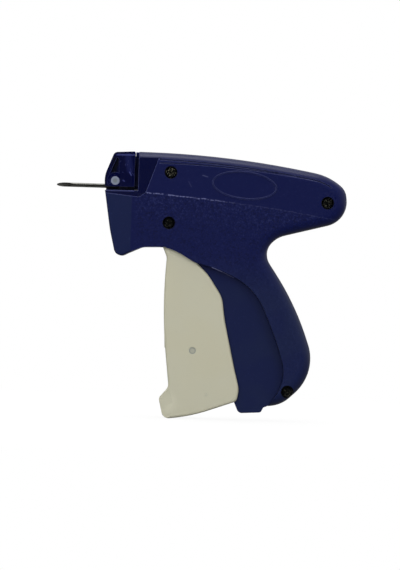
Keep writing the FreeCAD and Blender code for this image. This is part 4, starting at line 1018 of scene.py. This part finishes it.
@dataclass
class Studio:
    """Pale floor, white surroundings, soft lamps and the camera."""

    aim: tuple[float, float, float] = (0.0511, -0.007, -0.0503)  # middle of the view
    roll: float = 1.8                                  # degrees
    view_height: float = 0.2971                        # height of the view at the tool
    distance: float = 2.2
    sensor: float = 24.0
    floor_half: float = 4.0
    floor_colour: str = "#f4f4f4"
    floor_rough: float = 0.9
    floor_seen: Fade = (0.12, 0.5, 0.9, 1.0)           # share of plain white, from near the tool outwards
    floor_front: Fade = (0.1, 1.0, 0.74, 0.0)          # darker to reflections in front, along Y
    room_above: Fade = (0.12, 0.8, 0.02, 0.36)         # light of the room, by direction
    room_right: Fade = (0.45, 0.9, 0.02, 0.7)
    room_left: Fade = (-0.45, -1.0, 0.02, 0.4)
    backdrop_above: Edge = (0.1, 0.7)                  # where reflections show the white backdrop
    backdrop_behind: Edge = (-0.3, 0.4)
    lamps: tuple[Lamp, ...] = (
        Lamp("overhead", 0.0, 88.0, 6.5, True, 0.62, 1.3),
        Lamp("front", -4.0, 8.0, 4.7),
        Lamp("left_front", -38.0, 18.0, 6.2),
        Lamp("right_front", 32.0, 22.0, 4.8),
        Lamp("rear", 176.0, 8.0, 5.0),
        Lamp("left_rear", -148.0, 22.0, 6.0),
        Lamp("right_rear", 142.0, 18.0, 5.5),
    )

    def camera(self) -> None:
        """Camera square on to the tool's left side, rolled a little."""
        a = math.radians(self.roll)
        right, up, back = (math.cos(a), 0, math.sin(a)), (-math.sin(a), 0, math.cos(a)), (0, -1, 0)
        turn = Matrix((right, up, back)).transposed().to_4x4()
        lens = bpy.data.cameras.new("camera")
        lens.sensor_fit, lens.sensor_height = "VERTICAL", self.sensor
        lens.lens = self.sensor * self.distance / self.view_height
        view = bpy.data.objects.new("camera", lens)
        view.matrix_world = Matrix.Translation(Vector(self.aim) + Vector(back) * self.distance) @ turn
        bpy.context.scene.collection.objects.link(view)
        bpy.context.scene.camera = view

    def floor(self) -> None:
        """Pale floor under the tool: mostly white to the camera, so that only a soft shadow shows."""
        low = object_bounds()[0]
        h = self.floor_half
        corners = np.array([[-h, -h, low[2]], [h, -h, low[2]], [h, h, low[2]], [-h, h, low[2]]])
        mesh = bpy.data.meshes.new("floor")
        mesh.from_pydata(corners.tolist(), [], [[0, 1, 2, 3]])
        floor = bpy.data.objects.new("floor", mesh)
        bpy.context.scene.collection.objects.link(floor)
        made = bpy.data.materials.new("pale_floor")
        made.use_nodes = True
        tree = made.node_tree
        plain = tree.nodes["Principled BSDF"]
        plain.inputs["Base Color"].default_value = linear(self.floor_colour)
        plain.inputs["Roughness"].default_value = self.floor_rough
        path = add_node(tree, "LightPath").outputs
        place = add_node(tree, "NewGeometry").outputs["Position"]
        behind = add_node(tree, "SeparateXYZ", {0: place}).outputs[1]
        away = add_node(tree, "VectorMath", {0: place, 1: (self.aim[0], 0.0, low[2])},
                        operation="DISTANCE").outputs["Value"]
        front = mask(tree, path["Is Glossy Ray"], (behind, *self.floor_front))
        glow = add_node(tree, "Math", {0: 1.0, 1: front}, operation="SUBTRACT").outputs[0]
        white = add_node(tree, "Emission", {0: "#ffffff", 1: glow}).outputs[0]
        seen = strongest(tree, mask(tree, path["Is Camera Ray"], (away, *self.floor_seen)),
                         path["Is Transmission Ray"], path["Is Glossy Ray"])
        mix = add_node(tree, "MixShader", {0: seen, 1: plain.outputs[0], 2: white})
        tree.links.new(mix.outputs[0], tree.nodes["Material Output"].inputs["Surface"])
        mesh.materials.append(made)
        floor.visible_diffuse = False
        floor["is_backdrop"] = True

    def surroundings(self) -> None:
        """White backdrop, which shiny pieces show too, in a room that is bright above and dark in front."""
        world = bpy.data.worlds.new("studio")
        world.use_nodes = True
        bpy.context.scene.world = world
        tree = world.node_tree
        way = add_node(tree, "TexCoord").outputs["Generated"]
        xyz = add_node(tree, "SeparateXYZ", {0: way}).outputs
        path = add_node(tree, "LightPath").outputs
        glow = strongest(tree, *(mask(tree, fade) for fade in (
            (xyz[2], *self.room_above), (xyz[0], *self.room_right), (xyz[0], *self.room_left))))
        room = add_node(tree, "Background", {0: "#ffffff", 1: glow})
        white = add_node(tree, "Background", {0: "#ffffff", 1: 1.0})
        backdrop = mask(tree, path["Is Glossy Ray"], (xyz[2], *self.backdrop_above),
                        (xyz[1], *self.backdrop_behind))
        seen = strongest(tree, path["Is Camera Ray"], path["Is Transmission Ray"], backdrop)
        mix = add_node(tree, "MixShader", {0: seen, 1: room.outputs[0], 2: white.outputs[0]})
        tree.links.new(mix.outputs[0], tree.nodes["World Output"].inputs["Surface"])

    def build(self) -> None:
        """Set up the whole studio."""
        self.camera()
        self.floor()
        self.surroundings()
        for lamp in self.lamps:
            lamp.hang(Vector(self.aim))
        bpy.context.scene.view_settings.view_transform = "Standard"
        log.info("set up the studio with %d lamps", len(self.lamps))


def main() -> None:
    """Dress every sub-assembly in order."""
    logging.basicConfig(level=logging.INFO, format="%(name)s: %(message)s")
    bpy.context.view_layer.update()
    groups = (Studio(), CaseHalves(), NeedleUnit(), TriggerUnit(), DriveTrain(), FeedUnit(), Fastenings(),
              ReturnSpring(), PawlSpring())
    for group in groups:
        group.build()


if __name__ == "__main__":
    main()
